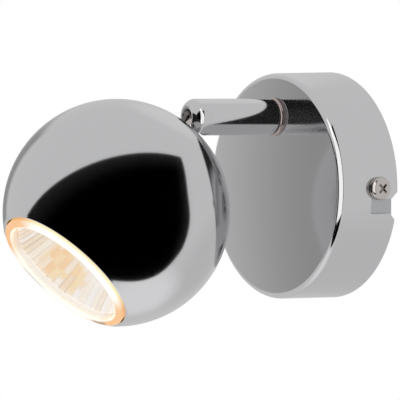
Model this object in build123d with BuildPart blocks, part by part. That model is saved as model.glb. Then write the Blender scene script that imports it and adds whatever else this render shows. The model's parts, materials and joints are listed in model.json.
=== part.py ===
"""A pivoting spotlight wall light.

A ball-shaped metal shade holds a 50 mm twist-lock reflector lamp. It hangs on a hollow
stem that tilts in the slotted nose of a short arm, and the arm swivels in a drawn wall
plate, which twists onto two side screws of a mounting bracket.

Millimetres, +Z up. The wall is the plane Y = 0, the light stands out from it towards -Y,
and the origin is the middle of the mounting bracket's rear face. Along the arm a station
is the distance out from the wall. Along the lamp a station is the distance from the
centre of the ball towards the light, so the stem has negative stations.
"""

from build123d import *
from math import acos, asin, cos, degrees, hypot, radians, sin, sqrt, tan
import os

os.makedirs("parts", exist_ok=True)

# Clearances
turning_gap = 0.3  # between faces of pieces that turn against each other
running_gap = 0.05  # radial, a pin or shaft that turns in its bore
fixed_gap = 0.03  # radial, a piece fixed in its hole
loose_gap = 0.4  # round a piece that is put in by hand
screw_gap = 0.12  # radial, a screw in a plain hole

# Wall plate: a drawn cup, open towards the wall
plate_radius = 40.0  # at the rear rim
plate_depth = 24.2
plate_wall = 0.8
plate_draft = 1.1  # degrees
plate_edge_radius = 2.1

# Bayonet slots in the plate's skirt, one for each side screw
slot_width = 5.2
slot_entry_drop = 6.2  # from the screw to the middle of the entry
slot_lead_in = 2.4  # flare at the rim
slot_corner_radius = 0.8

# Mounting bracket: a bent strip with a tab for the terminal block
bracket_thickness = 1.2
bracket_width = 20.0
bracket_ear_height = 13.5
bracket_ear_gap = 0.23  # between an ear's corners and the plate
bracket_bend_radius = 0.4  # inside
bracket_corner_radius = 2.5
tab_width = 20.0
tab_drop = 20.0  # below the strip
wall_screw_spacing = 48.0
wall_screw_slot_length = 12.0
wall_screw_slot_width = 4.5
cable_hole_radius = 6.0

# Side screws: M4, pan head
side_screw_station = 8.3
side_screw_radius = 2.0
side_screw_head_radius = 4.0
side_screw_head_height = 2.7
side_screw_crown_radius = 1.6
side_screw_reach = 3.4  # of the shank past the ear
thread_collar_radius = 3.3
thread_collar_depth = 1.4

# Cross recess of the screws
recess_width = 0.9
recess_span = 4.2
recess_depth = 1.5

# Terminal block: three poles in a row
pole_pitch = 10.0
block_width = 15.0  # along the leads
block_height = 12.5
block_corner_radius = 1.0
tower_width = 5.4
web_height = 5.0
web_width = 9.0
insert_radius = 2.0
insert_bore_radius = 1.4
insert_station = 5.2  # above the bracket
insert_length = 13.0
clamp_screw_radius = 1.3
clamp_screw_spread = 3.8  # from the middle of the block
clamp_screw_sink = 1.6  # below the top of its tower
clamp_slot_width = 0.6
clamp_slot_depth = 0.8
block_screw_radius = 1.25
block_screw_head_radius = 2.2
block_screw_head_height = 1.6

# Earth terminal
earth_place = -12.0  # along the strip
earth_screw_radius = 2.0
earth_head_radius = 3.4
earth_head_height = 2.4
earth_washer_radius = 4.3
earth_washer_thickness = 0.9
earth_horn = 0.7

# Swivel at the plate
arm_height = 24.3
bush_flange_radius = 6.75
bush_flange_thickness = 1.3
bush_sleeve_radius = 5.9
bush_reach = 0.5  # behind the plate
nipple_radius = 5.0
nipple_bore_radius = 3.5
nipple_grip = 9.5  # inside the arm
nipple_tail = 2.6  # behind the lock nut
disc_spring_radius = 8.5
disc_spring_thickness = 0.5
disc_spring_height = 1.2
stop_washer_radius = 9.0
stop_washer_thickness = 1.0
stop_tab_width = 3.5
stop_tab_reach = 13.0
stop_pin_radius = 1.5
stop_pin_pitch = 11.4  # from the swivel axis
stop_pin_overlap = 0.5  # past the stop washer
lock_nut_flats = 14.0
lock_nut_thickness = 3.0
sleeve_bore = 1.6
sleeve_head_thickness = 0.8

# Arm
arm_radius = 6.35
arm_bore_radius = 4.35
nose_radius = 3.3  # rounding of the front end
nose_reach = 5.3  # pivot to front end
nose_depth = 3.6  # pivot back to the wide bore
pivot_station = 55.1
pivot_pin_radius = 1.1
pivot_pin_grip = 0.95  # inside the stem's wall

# Knuckle stem
stem_radius = 2.7
stem_bore_radius = 1.6
stem_flange_radius = 4.2
stem_flange_gap = 7.3  # pivot to flange
stem_neck_radius = 0.5  # rounding between neck and flange
shank_radius = 3.0
shank_reach = 0.4  # past the nut

# Shade: a spun ball with a mouth for the lamp
ball_radius = 38.5
shade_wall = 0.7
pivot_gap = 8.1  # pivot to the ball
rest_tilt = 43.6  # degrees below the horizontal
steepest_tilt = 78.0  # degrees, where the slot ends
seat_washer_radius = 5.5
toothed_washer_radius = 4.8
toothed_washer_thickness = 0.6
toothed_washer_teeth = 12
tooth_gap_radius = 0.45
stem_nut_flats = 10.0
stem_nut_thickness = 3.0

# Lamp: 50 mm reflector lamp with a twist-lock base
lamp_radius = 24.9
rim_height = 3.2
rim_rounding = 0.7
glass_radius = 22.0
glass_thickness = 2.0
glass_recess = 0.8
glass_ledge = 0.9
reflector_wall = 1.9
reflector_focus = 3.6  # of the parabola
reflector_depth = 27.0  # from the glass to the neck
reflector_facets = 24
reflector_rings = 6
neck_length = 4.0
neck_show = 0.6  # between the bowl and the base
lamp_base_radius = 12.6
lamp_base_length = 16.0  # collar, shoulder and foot
lamp_collar_length = 6.0
lamp_shoulder_length = 4.0
lamp_foot_radius = 9.0
burner_radius = 4.6
burner_wall = 0.8
burner_dome_radius = 3.2
burner_length = 17.0
pinch_width = 7.0
pinch_thickness = 3.0
pinch_length = 7.0
pinch_sink = 1.5  # into the base
filament_radius = 0.8
filament_length = 8.0
filament_wire_radius = 0.3
filament_wire_spread = 1.6
pin_spacing = 10.0
pin_radius = 1.45
pin_length = 6.5
pin_head_radius = 2.4
pin_head_length = 1.8

# Lampholder
holder_length = 36.0
holder_width = 16.0
holder_depth = 10.0
holder_corner_radius = 4.0
holder_edge_radius = 0.8
holder_cover_thickness = 2.0
keyhole_turn = 28.0  # degrees from entry to lock
keyhole_radius = 2.75
chamber_inner = 1.5
chamber_outer = 11.6
chamber_width = 11.2
holder_screw_spread = 14.4
holder_screw_radius = 1.5
holder_screw_head_radius = 2.7
holder_screw_head_height = 1.8
holder_screw_sink = 1.2
holder_screw_tail = 1.0  # past the bracket
lead_entry = 4.2  # from the middle of the holder
contact_thickness = 0.5
contact_width = 4.0
contact_inner = 3.2
contact_outer = 11.0

# Holder bracket: a bent strip between the stem nut and the lampholder
hanger_thickness = 1.0
hanger_width = 8.0
hanger_half_base = 6.3
hanger_gap = 0.15  # between its base corners and the ball
hanger_height = 7.6  # its base to the lampholder
hanger_bend_radius = 0.4  # inside

# Leads
lead_radius = 0.7
lead_spread = 0.8  # from the middle of the bore
lead_bend_radius = 1.2
lead_rise = 3.5  # of the loop over the bracket


# Derived places
def on_ball(radius, station):
    """Distance from the lamp axis to a ball of this radius at a station, or the reverse."""
    return sqrt(radius**2 - station**2)


head_reach = ball_radius + pivot_gap
aim = Vector(0, -cos(radians(rest_tilt)), -sin(radians(rest_tilt)))
pivot = Vector(0, -pivot_station, arm_height)
ball_centre = pivot + aim * head_reach

wall_section = Plane(origin=(0, 0, 0), x_dir=(1, 0, 0), z_dir=(0, 0, -1))
arm_section = Plane(origin=(0, 0, arm_height), x_dir=(1, 0, 0), z_dir=(0, 0, -1))
arm_side = Plane(origin=pivot, x_dir=(0, -1, 0), z_dir=(-1, 0, 0))
lamp_section = Plane(origin=ball_centre, x_dir=(1, 0, 0), z_dir=Vector(1, 0, 0).cross(aim))
arm_axis = Axis((0, 0, arm_height), (0, -1, 0))
lamp_axis = Axis(ball_centre, aim)


def facing_out(station, height=0.0):
    """A plane parallel to the wall, facing the room."""
    return Plane(origin=(0, -station, height), x_dir=(1, 0, 0), z_dir=(0, -1, 0))


def across_lamp(station):
    """A plane square to the lamp axis, facing the light."""
    return Plane(origin=ball_centre + aim * station, x_dir=(1, 0, 0), z_dir=aim)


def outline(section, *points):
    """A closed outline of straight edges on a section plane, as (radius, station) points."""
    with BuildSketch(section) as drawn:
        with BuildLine():
            Polyline(*points, close=True)
        make_face()
    return drawn.sketch


def disc(plane, radius, bore=0.0, *places):
    """Round faces on a plane, each with an optional bore."""
    with BuildSketch(plane) as drawn:
        with Locations(*(places or [(0, 0)])):
            Circle(radius)
            if bore:
                Circle(bore, mode=Mode.SUBTRACT)
    return drawn.sketch


def cross_recess(plane):
    """The outline of a cross recess."""
    with BuildSketch(plane) as drawn:
        Rectangle(recess_span, recess_width)
        Rectangle(recess_width, recess_span)
    return drawn.sketch


def hexagon(plane, flats, bore):
    """The face of a hexagon nut."""
    with BuildSketch(plane) as drawn:
        RegularPolygon(flats / 2, 6, major_radius=False, rotation=30)
        Circle(bore, mode=Mode.SUBTRACT)
    return drawn.sketch


def nut_barrel(section, flats, start, end):
    """The turned outline that rounds off the corners of a hexagon nut."""
    corner = flats / sqrt(3)
    bevel = corner - flats / 2
    return outline(
        section,
        (0, start),
        (flats / 2, start),
        (corner, start + bevel / 2),
        (corner, end - bevel / 2),
        (flats / 2, end),
        (0, end),
    )


def stem_angle(radius, offset_from_axis):
    """Degrees from the plus X direction to a point on a circle, on the stem's side."""
    return degrees(acos(offset_from_axis / radius))


def dish_radius(station):
    """Radius of the lamp's parabolic dish at a station."""
    return 2 * sqrt(reflector_focus * (station - dish_vertex))


def save(builder, name):
    """Label a finished piece and write it."""
    builder.part.label = name
    export_step(builder.part, f"parts/{name}.step")


plate_front_radius = plate_radius - plate_depth * tan(radians(plate_draft))
ear_corner = plate_radius - bracket_ear_height * tan(radians(plate_draft))
ear_corner -= plate_wall + bracket_ear_gap
bracket_half_length = sqrt(ear_corner**2 - (bracket_width / 2) ** 2)
plate_inside = plate_depth - plate_wall
bush_front = plate_depth + bush_flange_thickness
bush_rear = plate_inside - bush_reach
arm_rear = bush_front + turning_gap
arm_front = pivot_station + nose_reach
disc_spring_front = bush_rear - turning_gap
stop_washer_front = disc_spring_front - disc_spring_height
lock_nut_front = stop_washer_front - stop_washer_thickness
nipple_rear = lock_nut_front - lock_nut_thickness - nipple_tail
nipple_front = arm_rear + nipple_grip
nose_bore_radius = stem_radius + turning_gap
stop_pin_end = lock_nut_front - stop_pin_overlap
lock_nut_rear = lock_nut_front - lock_nut_thickness
block_centre = -bracket_width / 2 - tab_drop / 2
block_screw_place = (-pole_pitch / 2, block_centre)
steepest = radians(steepest_tilt)
flange_station = stem_flange_gap - head_reach
ball_inside = ball_radius - shade_wall
shade_hole_radius = shank_radius + fixed_gap
mouth_radius = lamp_radius + loose_gap
mouth_station = on_ball(ball_inside, mouth_radius)
hanger_corner = hypot(hanger_half_base, hanger_width / 2)
hanger_rear = hanger_gap - on_ball(ball_inside, hanger_corner)
stem_nut_rear = hanger_rear + hanger_thickness + toothed_washer_thickness
shank_end = stem_nut_rear + stem_nut_thickness + shank_reach
holder_rear = hanger_rear + hanger_height
contact_floor = holder_rear + holder_cover_thickness
holder_front = contact_floor + holder_depth
holder_lip = pin_length - pin_head_length - 2 * turning_gap
lamp_base_rear = holder_front + turning_gap
pin_end = lamp_base_rear - pin_length
neck_station = lamp_base_rear + lamp_base_length + neck_show
neck_end = neck_station - neck_length
collar_rear = neck_station - neck_show - lamp_collar_length
pinch_end = neck_end - pinch_sink
glass_rear = neck_station + reflector_depth
lamp_front = glass_rear + glass_thickness + glass_recess
dish_vertex = glass_rear - (glass_radius - glass_ledge) ** 2 / (4 * reflector_focus)
neck_radius = dish_radius(neck_station) + reflector_wall
holder_screw_places = [(holder_screw_spread, 0), (-holder_screw_spread, 0)]

# ---------------------------------------------------------------- wall plate
with BuildPart() as wall_plate:
    with BuildSketch(facing_out(0)):
        Circle(plate_radius)
    extrude(amount=plate_depth, taper=plate_draft)
    fillet(wall_plate.edges().sort_by(Axis.Y)[0], plate_edge_radius)
    offset(amount=-plate_wall, openings=wall_plate.faces().sort_by(Axis.Y)[-1])
    # hole for the swivel bush
    extrude(
        disc(facing_out(plate_depth, arm_height), bush_sleeve_radius + fixed_gap),
        amount=-2 * plate_wall,
        mode=Mode.SUBTRACT,
    )
    # one L-shaped bayonet slot on each side, alike when the plate is turned half round
    slot_end = side_screw_station + slot_width / 2
    for side in (1, -1):
        skirt_side = Plane(
            origin=(side * bracket_half_length, 0, 0), x_dir=(0, -1, 0), z_dir=(-side, 0, 0)
        )
        with BuildSketch(skirt_side) as bayonet_slot:
            with Locations((0, -slot_entry_drop)):
                Rectangle(2 * slot_end, slot_width)
                Trapezoid(slot_width + 4 * slot_lead_in, 2 * slot_lead_in, 45, rotation=-90)
            with Locations((side_screw_station, -slot_entry_drop / 2)):
                Rectangle(slot_width, slot_entry_drop)
            with Locations((side_screw_station, 0)):
                Circle(slot_width / 2)
            inner_corner = (slot_end, -slot_entry_drop - slot_width / 2)
            fillet(bayonet_slot.vertices().sort_by_distance(inner_corner)[0], slot_corner_radius)
        skirt_reach = plate_radius - bracket_half_length
        extrude(amount=-2 * skirt_reach, mode=Mode.SUBTRACT)
save(wall_plate, "wall_plate")

# A pin welded inside the plate stops the arm before the leads are wound up
with BuildPart() as stop_pin:
    extrude(
        disc(facing_out(stop_pin_end, arm_height), stop_pin_radius, 0, (0, -stop_pin_pitch)),
        amount=plate_inside - stop_pin_end,
    )
    chamfer(stop_pin.edges().sort_by(Axis.Y)[-1], stop_pin_radius / 5)
save(stop_pin, "stop_pin")

# ---------------------------------------------------------------- bracket
with BuildPart() as mounting_bracket:
    with BuildSketch(wall_section) as strip_edge:
        with BuildLine() as strip_line:
            FilletPolyline(
                (-bracket_half_length, bracket_ear_height),
                (-bracket_half_length, 0),
                (bracket_half_length, 0),
                (bracket_half_length, bracket_ear_height),
                radius=bracket_bend_radius + bracket_thickness,
            )
            offset(amount=bracket_thickness, side=Side.LEFT)
        make_face()
    extrude(amount=bracket_width / 2, both=True)
    ear_corners = mounting_bracket.edges().filter_by(Axis.X).group_by(Axis.Y)[0]
    fillet(ear_corners, bracket_corner_radius)
    # the tab for the terminal block, level with the strip
    with BuildSketch(facing_out(0)):
        with Locations((0, -bracket_width / 2 - tab_drop / 2 + bracket_corner_radius)):
            RectangleRounded(
                tab_width, tab_drop + 2 * bracket_corner_radius, bracket_corner_radius
            )
    extrude(amount=bracket_thickness)
    # slots for the wall screws, the hole for the supply cable, the tapped holes
    with BuildSketch(facing_out(0)):
        with GridLocations(wall_screw_spacing, 0, 2, 1):
            SlotOverall(wall_screw_slot_length, wall_screw_slot_width)
        Circle(cable_hole_radius)
        with Locations((earth_place, 0)):
            Circle(earth_screw_radius + fixed_gap)
        with Locations(block_screw_place):
            Circle(block_screw_radius + fixed_gap)
    extrude(amount=bracket_thickness, mode=Mode.SUBTRACT)
    # drawn collars in the ears, tapped for the side screws
    ear_inside = bracket_half_length - bracket_thickness
    for side in (1, -1):
        ear_plane = Plane(
            origin=(side * ear_inside, -side_screw_station, 0), z_dir=(-side, 0, 0)
        )
        extrude(disc(ear_plane, thread_collar_radius), amount=thread_collar_depth)
        extrude(
            disc(ear_plane, side_screw_radius + fixed_gap),
            amount=bracket_thickness + thread_collar_depth,
            both=True,
            mode=Mode.SUBTRACT,
        )
save(mounting_bracket, "mounting_bracket")

# ---------------------------------------------------------------- side screws
head_wall_edge = side_screw_station - side_screw_head_radius
skirt_radius = plate_radius - head_wall_edge * tan(radians(plate_draft))
with BuildPart() as side_screws:
    for side in (1, -1):
        seat = Plane(
            origin=(side * (skirt_radius + fixed_gap), -side_screw_station, 0), z_dir=(side, 0, 0)
        )
        extrude(disc(seat, side_screw_head_radius), amount=side_screw_head_height)
        crown = side_screws.edges().filter_by(GeomType.CIRCLE).sort_by(Axis.X)
        fillet(crown[-1] if side > 0 else crown[0], side_screw_crown_radius)
        shank_length = skirt_radius - ear_inside + thread_collar_depth + side_screw_reach
        extrude(disc(seat, side_screw_radius), amount=-shank_length)
        recess_floor = seat.offset(side_screw_head_height - recess_depth)
        extrude(cross_recess(recess_floor), amount=2 * recess_depth, mode=Mode.SUBTRACT)
save(side_screws, "side_screws")

# ---------------------------------------------------------------- terminal block
pole_places = [(x * pole_pitch, block_centre) for x in (-1, 0, 1)]
insert_height = bracket_thickness + insert_station
block_top = bracket_thickness + block_height
clamp_places = [
    (x, y + side * clamp_screw_spread) for x, y in pole_places for side in (1, -1)
]
lead_height = insert_height - insert_bore_radius + lead_radius
with BuildPart() as terminal_housing:
    with BuildSketch(facing_out(bracket_thickness)):
        with Locations((0, block_centre)):
            RectangleRounded(2 * pole_pitch + tower_width, web_width, block_corner_radius)
    extrude(amount=web_height)
    with BuildSketch(facing_out(bracket_thickness)):
        with Locations(*pole_places):
            RectangleRounded(tower_width, block_width, block_corner_radius)
    extrude(amount=block_height)
    # the ways for the inserts, the leads and the clamp screws
    for x, _ in pole_places:
        lead_way = Plane(origin=(x, -insert_height, block_centre), z_dir=(0, 0, 1))
        lead_hole = disc(lead_way, insert_radius + fixed_gap)
        extrude(lead_hole, amount=block_width, both=True, mode=Mode.SUBTRACT)
    extrude(
        disc(facing_out(insert_height), clamp_screw_radius + screw_gap, 0, *clamp_places),
        amount=block_height,
        mode=Mode.SUBTRACT,
    )
    web_hole = disc(facing_out(bracket_thickness), block_screw_radius + screw_gap, 0, block_screw_place)
    extrude(web_hole, amount=web_height, mode=Mode.SUBTRACT)
save(terminal_housing, "terminal_housing")

with BuildPart() as terminal_inserts:
    for x, _ in pole_places:
        lead_way = Plane(origin=(x, -insert_height, block_centre), z_dir=(0, 0, 1))
        extrude(disc(lead_way, insert_radius, insert_bore_radius), amount=insert_length / 2, both=True)
    extrude(
        disc(facing_out(insert_height), clamp_screw_radius + fixed_gap, 0, *clamp_places),
        amount=insert_radius,
        mode=Mode.SUBTRACT,
    )
save(terminal_inserts, "terminal_inserts")

with BuildPart() as terminal_screws:
    clamp_top = block_top - clamp_screw_sink
    clamp_tip = lead_height + lead_radius
    clamp_shank = disc(facing_out(clamp_tip), clamp_screw_radius, 0, *clamp_places)
    extrude(clamp_shank, amount=clamp_top - clamp_tip)
    with BuildSketch(facing_out(clamp_top - clamp_slot_depth)):
        with Locations(*clamp_places):
            Rectangle(2 * clamp_screw_radius, clamp_slot_width)
    extrude(amount=clamp_slot_depth, mode=Mode.SUBTRACT)
save(terminal_screws, "terminal_screws")

with BuildPart() as terminal_fixing_screw:
    web_top = bracket_thickness + web_height
    extrude(
        disc(facing_out(web_top), block_screw_head_radius, 0, block_screw_place),
        amount=block_screw_head_height,
    )
    fillet(terminal_fixing_screw.edges().sort_by(Axis.Y)[0], block_screw_head_height / 2)
    block_screw_shank = disc(facing_out(fixed_gap), block_screw_radius, 0, block_screw_place)
    extrude(block_screw_shank, amount=web_top - fixed_gap)
    with BuildSketch(facing_out(web_top + block_screw_head_height - clamp_slot_depth)):
        with Locations(block_screw_place):
            Rectangle(2 * block_screw_head_radius, clamp_slot_width)
    extrude(amount=clamp_slot_depth, mode=Mode.SUBTRACT)
save(terminal_fixing_screw, "terminal_fixing_screw")

# ---------------------------------------------------------------- earth terminal
earth_seat = Plane(origin=(earth_place, -bracket_thickness, 0), x_dir=(1, 0, 0), z_dir=(0, -1, 0))
with BuildPart() as earth_washer:
    extrude(
        disc(earth_seat, earth_washer_radius, earth_screw_radius + screw_gap),
        amount=earth_washer_thickness,
    )
    # two turned-up horns keep the lead under the screw
    with BuildSketch(earth_seat):
        with GridLocations(0, 2 * earth_washer_radius - earth_horn, 1, 2):
            Rectangle(earth_washer_radius, earth_horn)
    extrude(amount=earth_washer_thickness + earth_horn)
save(earth_washer, "earth_washer")

with BuildPart() as earth_screw:
    earth_head_seat = earth_seat.offset(earth_washer_thickness + 2 * lead_radius)
    extrude(disc(earth_head_seat, earth_head_radius), amount=earth_head_height)
    fillet(earth_screw.edges().sort_by(Axis.Y)[0], earth_head_height / 2)
    extrude(
        disc(earth_head_seat, earth_screw_radius),
        amount=-(bracket_thickness + earth_washer_thickness + 2 * lead_radius - fixed_gap),
    )
    recess_floor = earth_head_seat.offset(earth_head_height - recess_depth)
    extrude(cross_recess(recess_floor), amount=2 * recess_depth, mode=Mode.SUBTRACT)
save(earth_screw, "earth_screw")

# ---------------------------------------------------------------- swivel
with BuildPart() as swivel_bush:
    bush_bore = nipple_radius + running_gap
    revolve(
        outline(
            arm_section,
            (bush_bore, bush_rear),
            (bush_sleeve_radius, bush_rear),
            (bush_sleeve_radius, plate_depth),
            (bush_flange_radius, plate_depth),
            (bush_flange_radius, bush_front),
            (bush_bore, bush_front),
        ),
        axis=arm_axis,
    )
    flange_edges = swivel_bush.edges().filter_by(GeomType.CIRCLE).sort_by(SortBy.RADIUS)[-2:]
    fillet(flange_edges.sort_by(Axis.Y)[0], bush_flange_thickness / 3)
save(swivel_bush, "swivel_bush")

with BuildPart() as nipple:
    extrude(
        disc(facing_out(nipple_rear, arm_height), nipple_radius, nipple_bore_radius),
        amount=nipple_front - nipple_rear,
    )
    nipple_rims = nipple.edges().filter_by(GeomType.CIRCLE).sort_by(SortBy.RADIUS)[-2:]
    chamfer(nipple_rims, (nipple_radius - nipple_bore_radius) / 3)
save(nipple, "nipple")

with BuildPart() as disc_spring:
    cone_rise = disc_spring_height - disc_spring_thickness
    spring_bore = nipple_radius + screw_gap
    revolve(
        outline(
            arm_section,
            (spring_bore, stop_washer_front),
            (disc_spring_radius, stop_washer_front + cone_rise),
            (disc_spring_radius, disc_spring_front),
            (spring_bore, stop_washer_front + disc_spring_thickness),
        ),
        axis=arm_axis,
    )
save(disc_spring, "disc_spring")

with BuildPart() as stop_washer:
    with BuildSketch(facing_out(lock_nut_front, arm_height)):
        Circle(stop_washer_radius)
        with Locations((0, stop_tab_reach / 2)):
            Rectangle(stop_tab_width, stop_tab_reach)
        Circle(nipple_radius + fixed_gap, mode=Mode.SUBTRACT)
    extrude(amount=stop_washer_thickness)
    fillet(stop_washer.edges().filter_by(Axis.Y).group_by(Axis.Z)[-1], stop_tab_width / 6)
save(stop_washer, "stop_washer")

with BuildPart() as lock_nut:
    extrude(
        hexagon(facing_out(lock_nut_rear, arm_height), lock_nut_flats, nipple_radius + fixed_gap),
        amount=lock_nut_thickness,
    )
    revolve(
        nut_barrel(arm_section, lock_nut_flats, lock_nut_rear, lock_nut_front),
        axis=arm_axis,
        mode=Mode.INTERSECT,
    )
save(lock_nut, "lock_nut")

with BuildPart() as lead_sleeve:
    revolve(
        outline(
            arm_section,
            (sleeve_bore, nipple_rear - sleeve_head_thickness),
            (nipple_radius, nipple_rear - sleeve_head_thickness),
            (nipple_radius, nipple_rear),
            (nipple_bore_radius - fixed_gap, nipple_rear),
            (nipple_bore_radius - fixed_gap, nipple_front),
            (sleeve_bore, nipple_front),
        ),
        axis=arm_axis,
    )
save(lead_sleeve, "lead_sleeve")

# ---------------------------------------------------------------- arm
with BuildPart() as arm_tube:
    with BuildSketch(arm_section) as arm_profile:
        with BuildLine():
            Polyline(
                (nipple_radius + fixed_gap, arm_rear),
                (arm_radius, arm_rear),
                (arm_radius, arm_front),
                (nose_bore_radius, arm_front),
                (nose_bore_radius, pivot_station - nose_depth),
                (arm_bore_radius, pivot_station - nose_depth - arm_bore_radius + nose_bore_radius),
                (arm_bore_radius, nipple_front + turning_gap),
                (nipple_radius + fixed_gap, nipple_front + turning_gap),
                close=True,
            )
        make_face()
        fillet(arm_profile.vertices().sort_by_distance((arm_radius, arm_front))[0], nose_radius)
    revolve(axis=arm_axis)
    # the slot runs from straight ahead down to the steepest tilt
    slot_back = (-nose_bore_radius * sin(steepest), -nose_bore_radius * cos(steepest))
    slot_reach = 2 * arm_radius
    slot_foot = (slot_back[0] + slot_reach * cos(steepest), slot_back[1] - slot_reach * sin(steepest))
    knuckle_slot = outline(
        arm_side, (0, 0), slot_back, slot_foot, (slot_reach, slot_foot[1]), (slot_reach, 0)
    )
    extrude(knuckle_slot, amount=nose_bore_radius, both=True, mode=Mode.SUBTRACT)
    pin_hole = disc(arm_side, pivot_pin_radius + fixed_gap)
    extrude(pin_hole, amount=slot_reach, both=True, mode=Mode.SUBTRACT)
save(arm_tube, "arm_tube")

with BuildPart() as pivot_pins:
    for side in (1, -1):
        pin_tip = arm_side.offset(side * (stem_radius - pivot_pin_grip))
        extrude(disc(pin_tip, pivot_pin_radius), amount=side * arm_radius)
    arm_envelope = disc(facing_out(pivot_station - nose_reach, arm_height), arm_radius - fixed_gap)
    extrude(arm_envelope, amount=2 * nose_reach, mode=Mode.INTERSECT)
save(pivot_pins, "pivot_pins")

# ---------------------------------------------------------------- knuckle stem
with BuildPart() as knuckle_stem:
    with BuildSketch(lamp_section) as stem_profile:
        with BuildLine():
            tip = CenterArc(
                (0, -head_reach), stem_radius, -stem_angle(stem_radius, stem_bore_radius),
                stem_angle(stem_radius, stem_bore_radius),
            )
            seat = CenterArc(
                (0, 0), ball_radius, -stem_angle(ball_radius, stem_flange_radius),
                stem_angle(ball_radius, stem_flange_radius) - stem_angle(ball_radius, shank_radius),
            )
            Polyline(
                tip @ 1,
                (stem_radius, flange_station),
                (stem_flange_radius, flange_station),
                seat @ 0,
            )
            Polyline(
                seat @ 1,
                (shank_radius, shank_end),
                (stem_bore_radius, shank_end),
                tip @ 0,
            )
        make_face()
        neck = stem_profile.vertices().sort_by_distance((stem_radius, flange_station))[0]
        fillet(neck, stem_neck_radius)
    revolve(axis=lamp_axis)
    pin_hole = disc(arm_side, pivot_pin_radius + running_gap)
    extrude(pin_hole, amount=2 * stem_radius, both=True, mode=Mode.SUBTRACT)
save(knuckle_stem, "knuckle_stem")

# ---------------------------------------------------------------- ball shade
with BuildPart() as ball_shade:
    with BuildSketch(lamp_section) as shade_profile:
        with BuildLine():
            mouth_angle = degrees(asin(mouth_station / ball_radius))
            outer_foot = stem_angle(ball_radius, shade_hole_radius)
            outer = CenterArc((0, 0), ball_radius, mouth_angle, -mouth_angle - outer_foot)
            lip_angle = degrees(asin(mouth_station / ball_inside))
            inner_foot = stem_angle(ball_inside, shade_hole_radius)
            inner = CenterArc((0, 0), ball_inside, -inner_foot, inner_foot + lip_angle)
            Line(outer @ 1, inner @ 0)
            Line(inner @ 1, outer @ 0)
        make_face()
        mouth_corners = shade_profile.vertices().group_by(Axis.Y)[-1]
        fillet(mouth_corners, shade_wall / 4)
    revolve(axis=lamp_axis)
save(ball_shade, "ball_shade")

with BuildPart() as seat_washer:
    with BuildSketch(lamp_section):
        with BuildLine():
            washer_rim = stem_angle(ball_inside, seat_washer_radius)
            washer_hole = stem_angle(ball_inside, shade_hole_radius)
            washer_back = CenterArc((0, 0), ball_inside, -washer_rim, washer_rim - washer_hole)
            Polyline(
                washer_back @ 1,
                (shade_hole_radius, hanger_rear),
                (seat_washer_radius, hanger_rear),
                washer_back @ 0,
            )
        make_face()
    revolve(axis=lamp_axis)
save(seat_washer, "seat_washer")

# ---------------------------------------------------------------- holder bracket
with BuildPart() as holder_bracket:
    with BuildSketch(lamp_section):
        with BuildLine():
            FilletPolyline(
                (-holder_length / 2, holder_rear - hanger_thickness),
                (-hanger_half_base, holder_rear - hanger_thickness),
                (-hanger_half_base, hanger_rear),
                (hanger_half_base, hanger_rear),
                (hanger_half_base, holder_rear - hanger_thickness),
                (holder_length / 2, holder_rear - hanger_thickness),
                radius=hanger_thickness + hanger_bend_radius,
            )
            offset(amount=hanger_thickness, side=Side.LEFT)
        make_face()
    extrude(amount=hanger_width / 2, both=True)
    stem_way = disc(across_lamp(hanger_rear), shade_hole_radius)
    extrude(stem_way, amount=hanger_thickness, mode=Mode.SUBTRACT)
    screw_ways = disc(across_lamp(holder_rear), holder_screw_radius + fixed_gap, 0, *holder_screw_places)
    extrude(screw_ways, amount=-hanger_thickness, mode=Mode.SUBTRACT)
save(holder_bracket, "holder_bracket")

with BuildPart() as toothed_washer:
    washer_seat = across_lamp(hanger_rear + hanger_thickness)
    extrude(disc(washer_seat, toothed_washer_radius, shade_hole_radius), amount=toothed_washer_thickness)
    with BuildSketch(washer_seat):
        with PolarLocations(toothed_washer_radius, toothed_washer_teeth):
            Circle(tooth_gap_radius)
    extrude(amount=toothed_washer_thickness, mode=Mode.SUBTRACT)
save(toothed_washer, "toothed_washer")

with BuildPart() as stem_nut:
    extrude(
        hexagon(across_lamp(stem_nut_rear), stem_nut_flats, shade_hole_radius),
        amount=stem_nut_thickness,
    )
    revolve(
        nut_barrel(lamp_section, stem_nut_flats, stem_nut_rear, stem_nut_rear + stem_nut_thickness),
        axis=lamp_axis,
        mode=Mode.INTERSECT,
    )
save(stem_nut, "stem_nut")

# ---------------------------------------------------------------- lampholder
pin_paths = [
    CenterArc((0, 0), pin_spacing / 2, locked - keyhole_turn, keyhole_turn) for locked in (0, 180)
]
with BuildPart() as lampholder:
    with BuildSketch(across_lamp(holder_front)):
        RectangleRounded(holder_length, holder_width, holder_corner_radius)
    extrude(amount=-holder_depth)
    fillet(lampholder.faces().sort_by(lamp_axis)[-1].edges(), holder_edge_radius)
    # chambers for the contacts, open at the back
    with BuildSketch(across_lamp(holder_front - holder_depth)):
        with GridLocations(chamber_inner + chamber_outer, 0, 2, 1):
            Rectangle(chamber_outer - chamber_inner, chamber_width)
    extrude(amount=holder_depth - holder_lip, mode=Mode.SUBTRACT)
    # keyholes: the pin heads go in at the round end and turn to the narrow one
    with BuildSketch(across_lamp(holder_front)):
        for pin_path in pin_paths:
            with Locations(pin_path @ 0):
                Circle(keyhole_radius)
            SlotArc(pin_path, 2 * (pin_radius + turning_gap))
    extrude(amount=-holder_lip, mode=Mode.SUBTRACT)
    # screw holes, counterbored
    extrude(
        disc(across_lamp(holder_front), holder_screw_radius + turning_gap, 0, *holder_screw_places),
        amount=-holder_depth,
        mode=Mode.SUBTRACT,
    )
    extrude(
        disc(across_lamp(holder_front), holder_screw_head_radius + turning_gap, 0, *holder_screw_places),
        amount=-holder_screw_sink - holder_screw_head_height,
        mode=Mode.SUBTRACT,
    )
save(lampholder, "lampholder")

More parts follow.
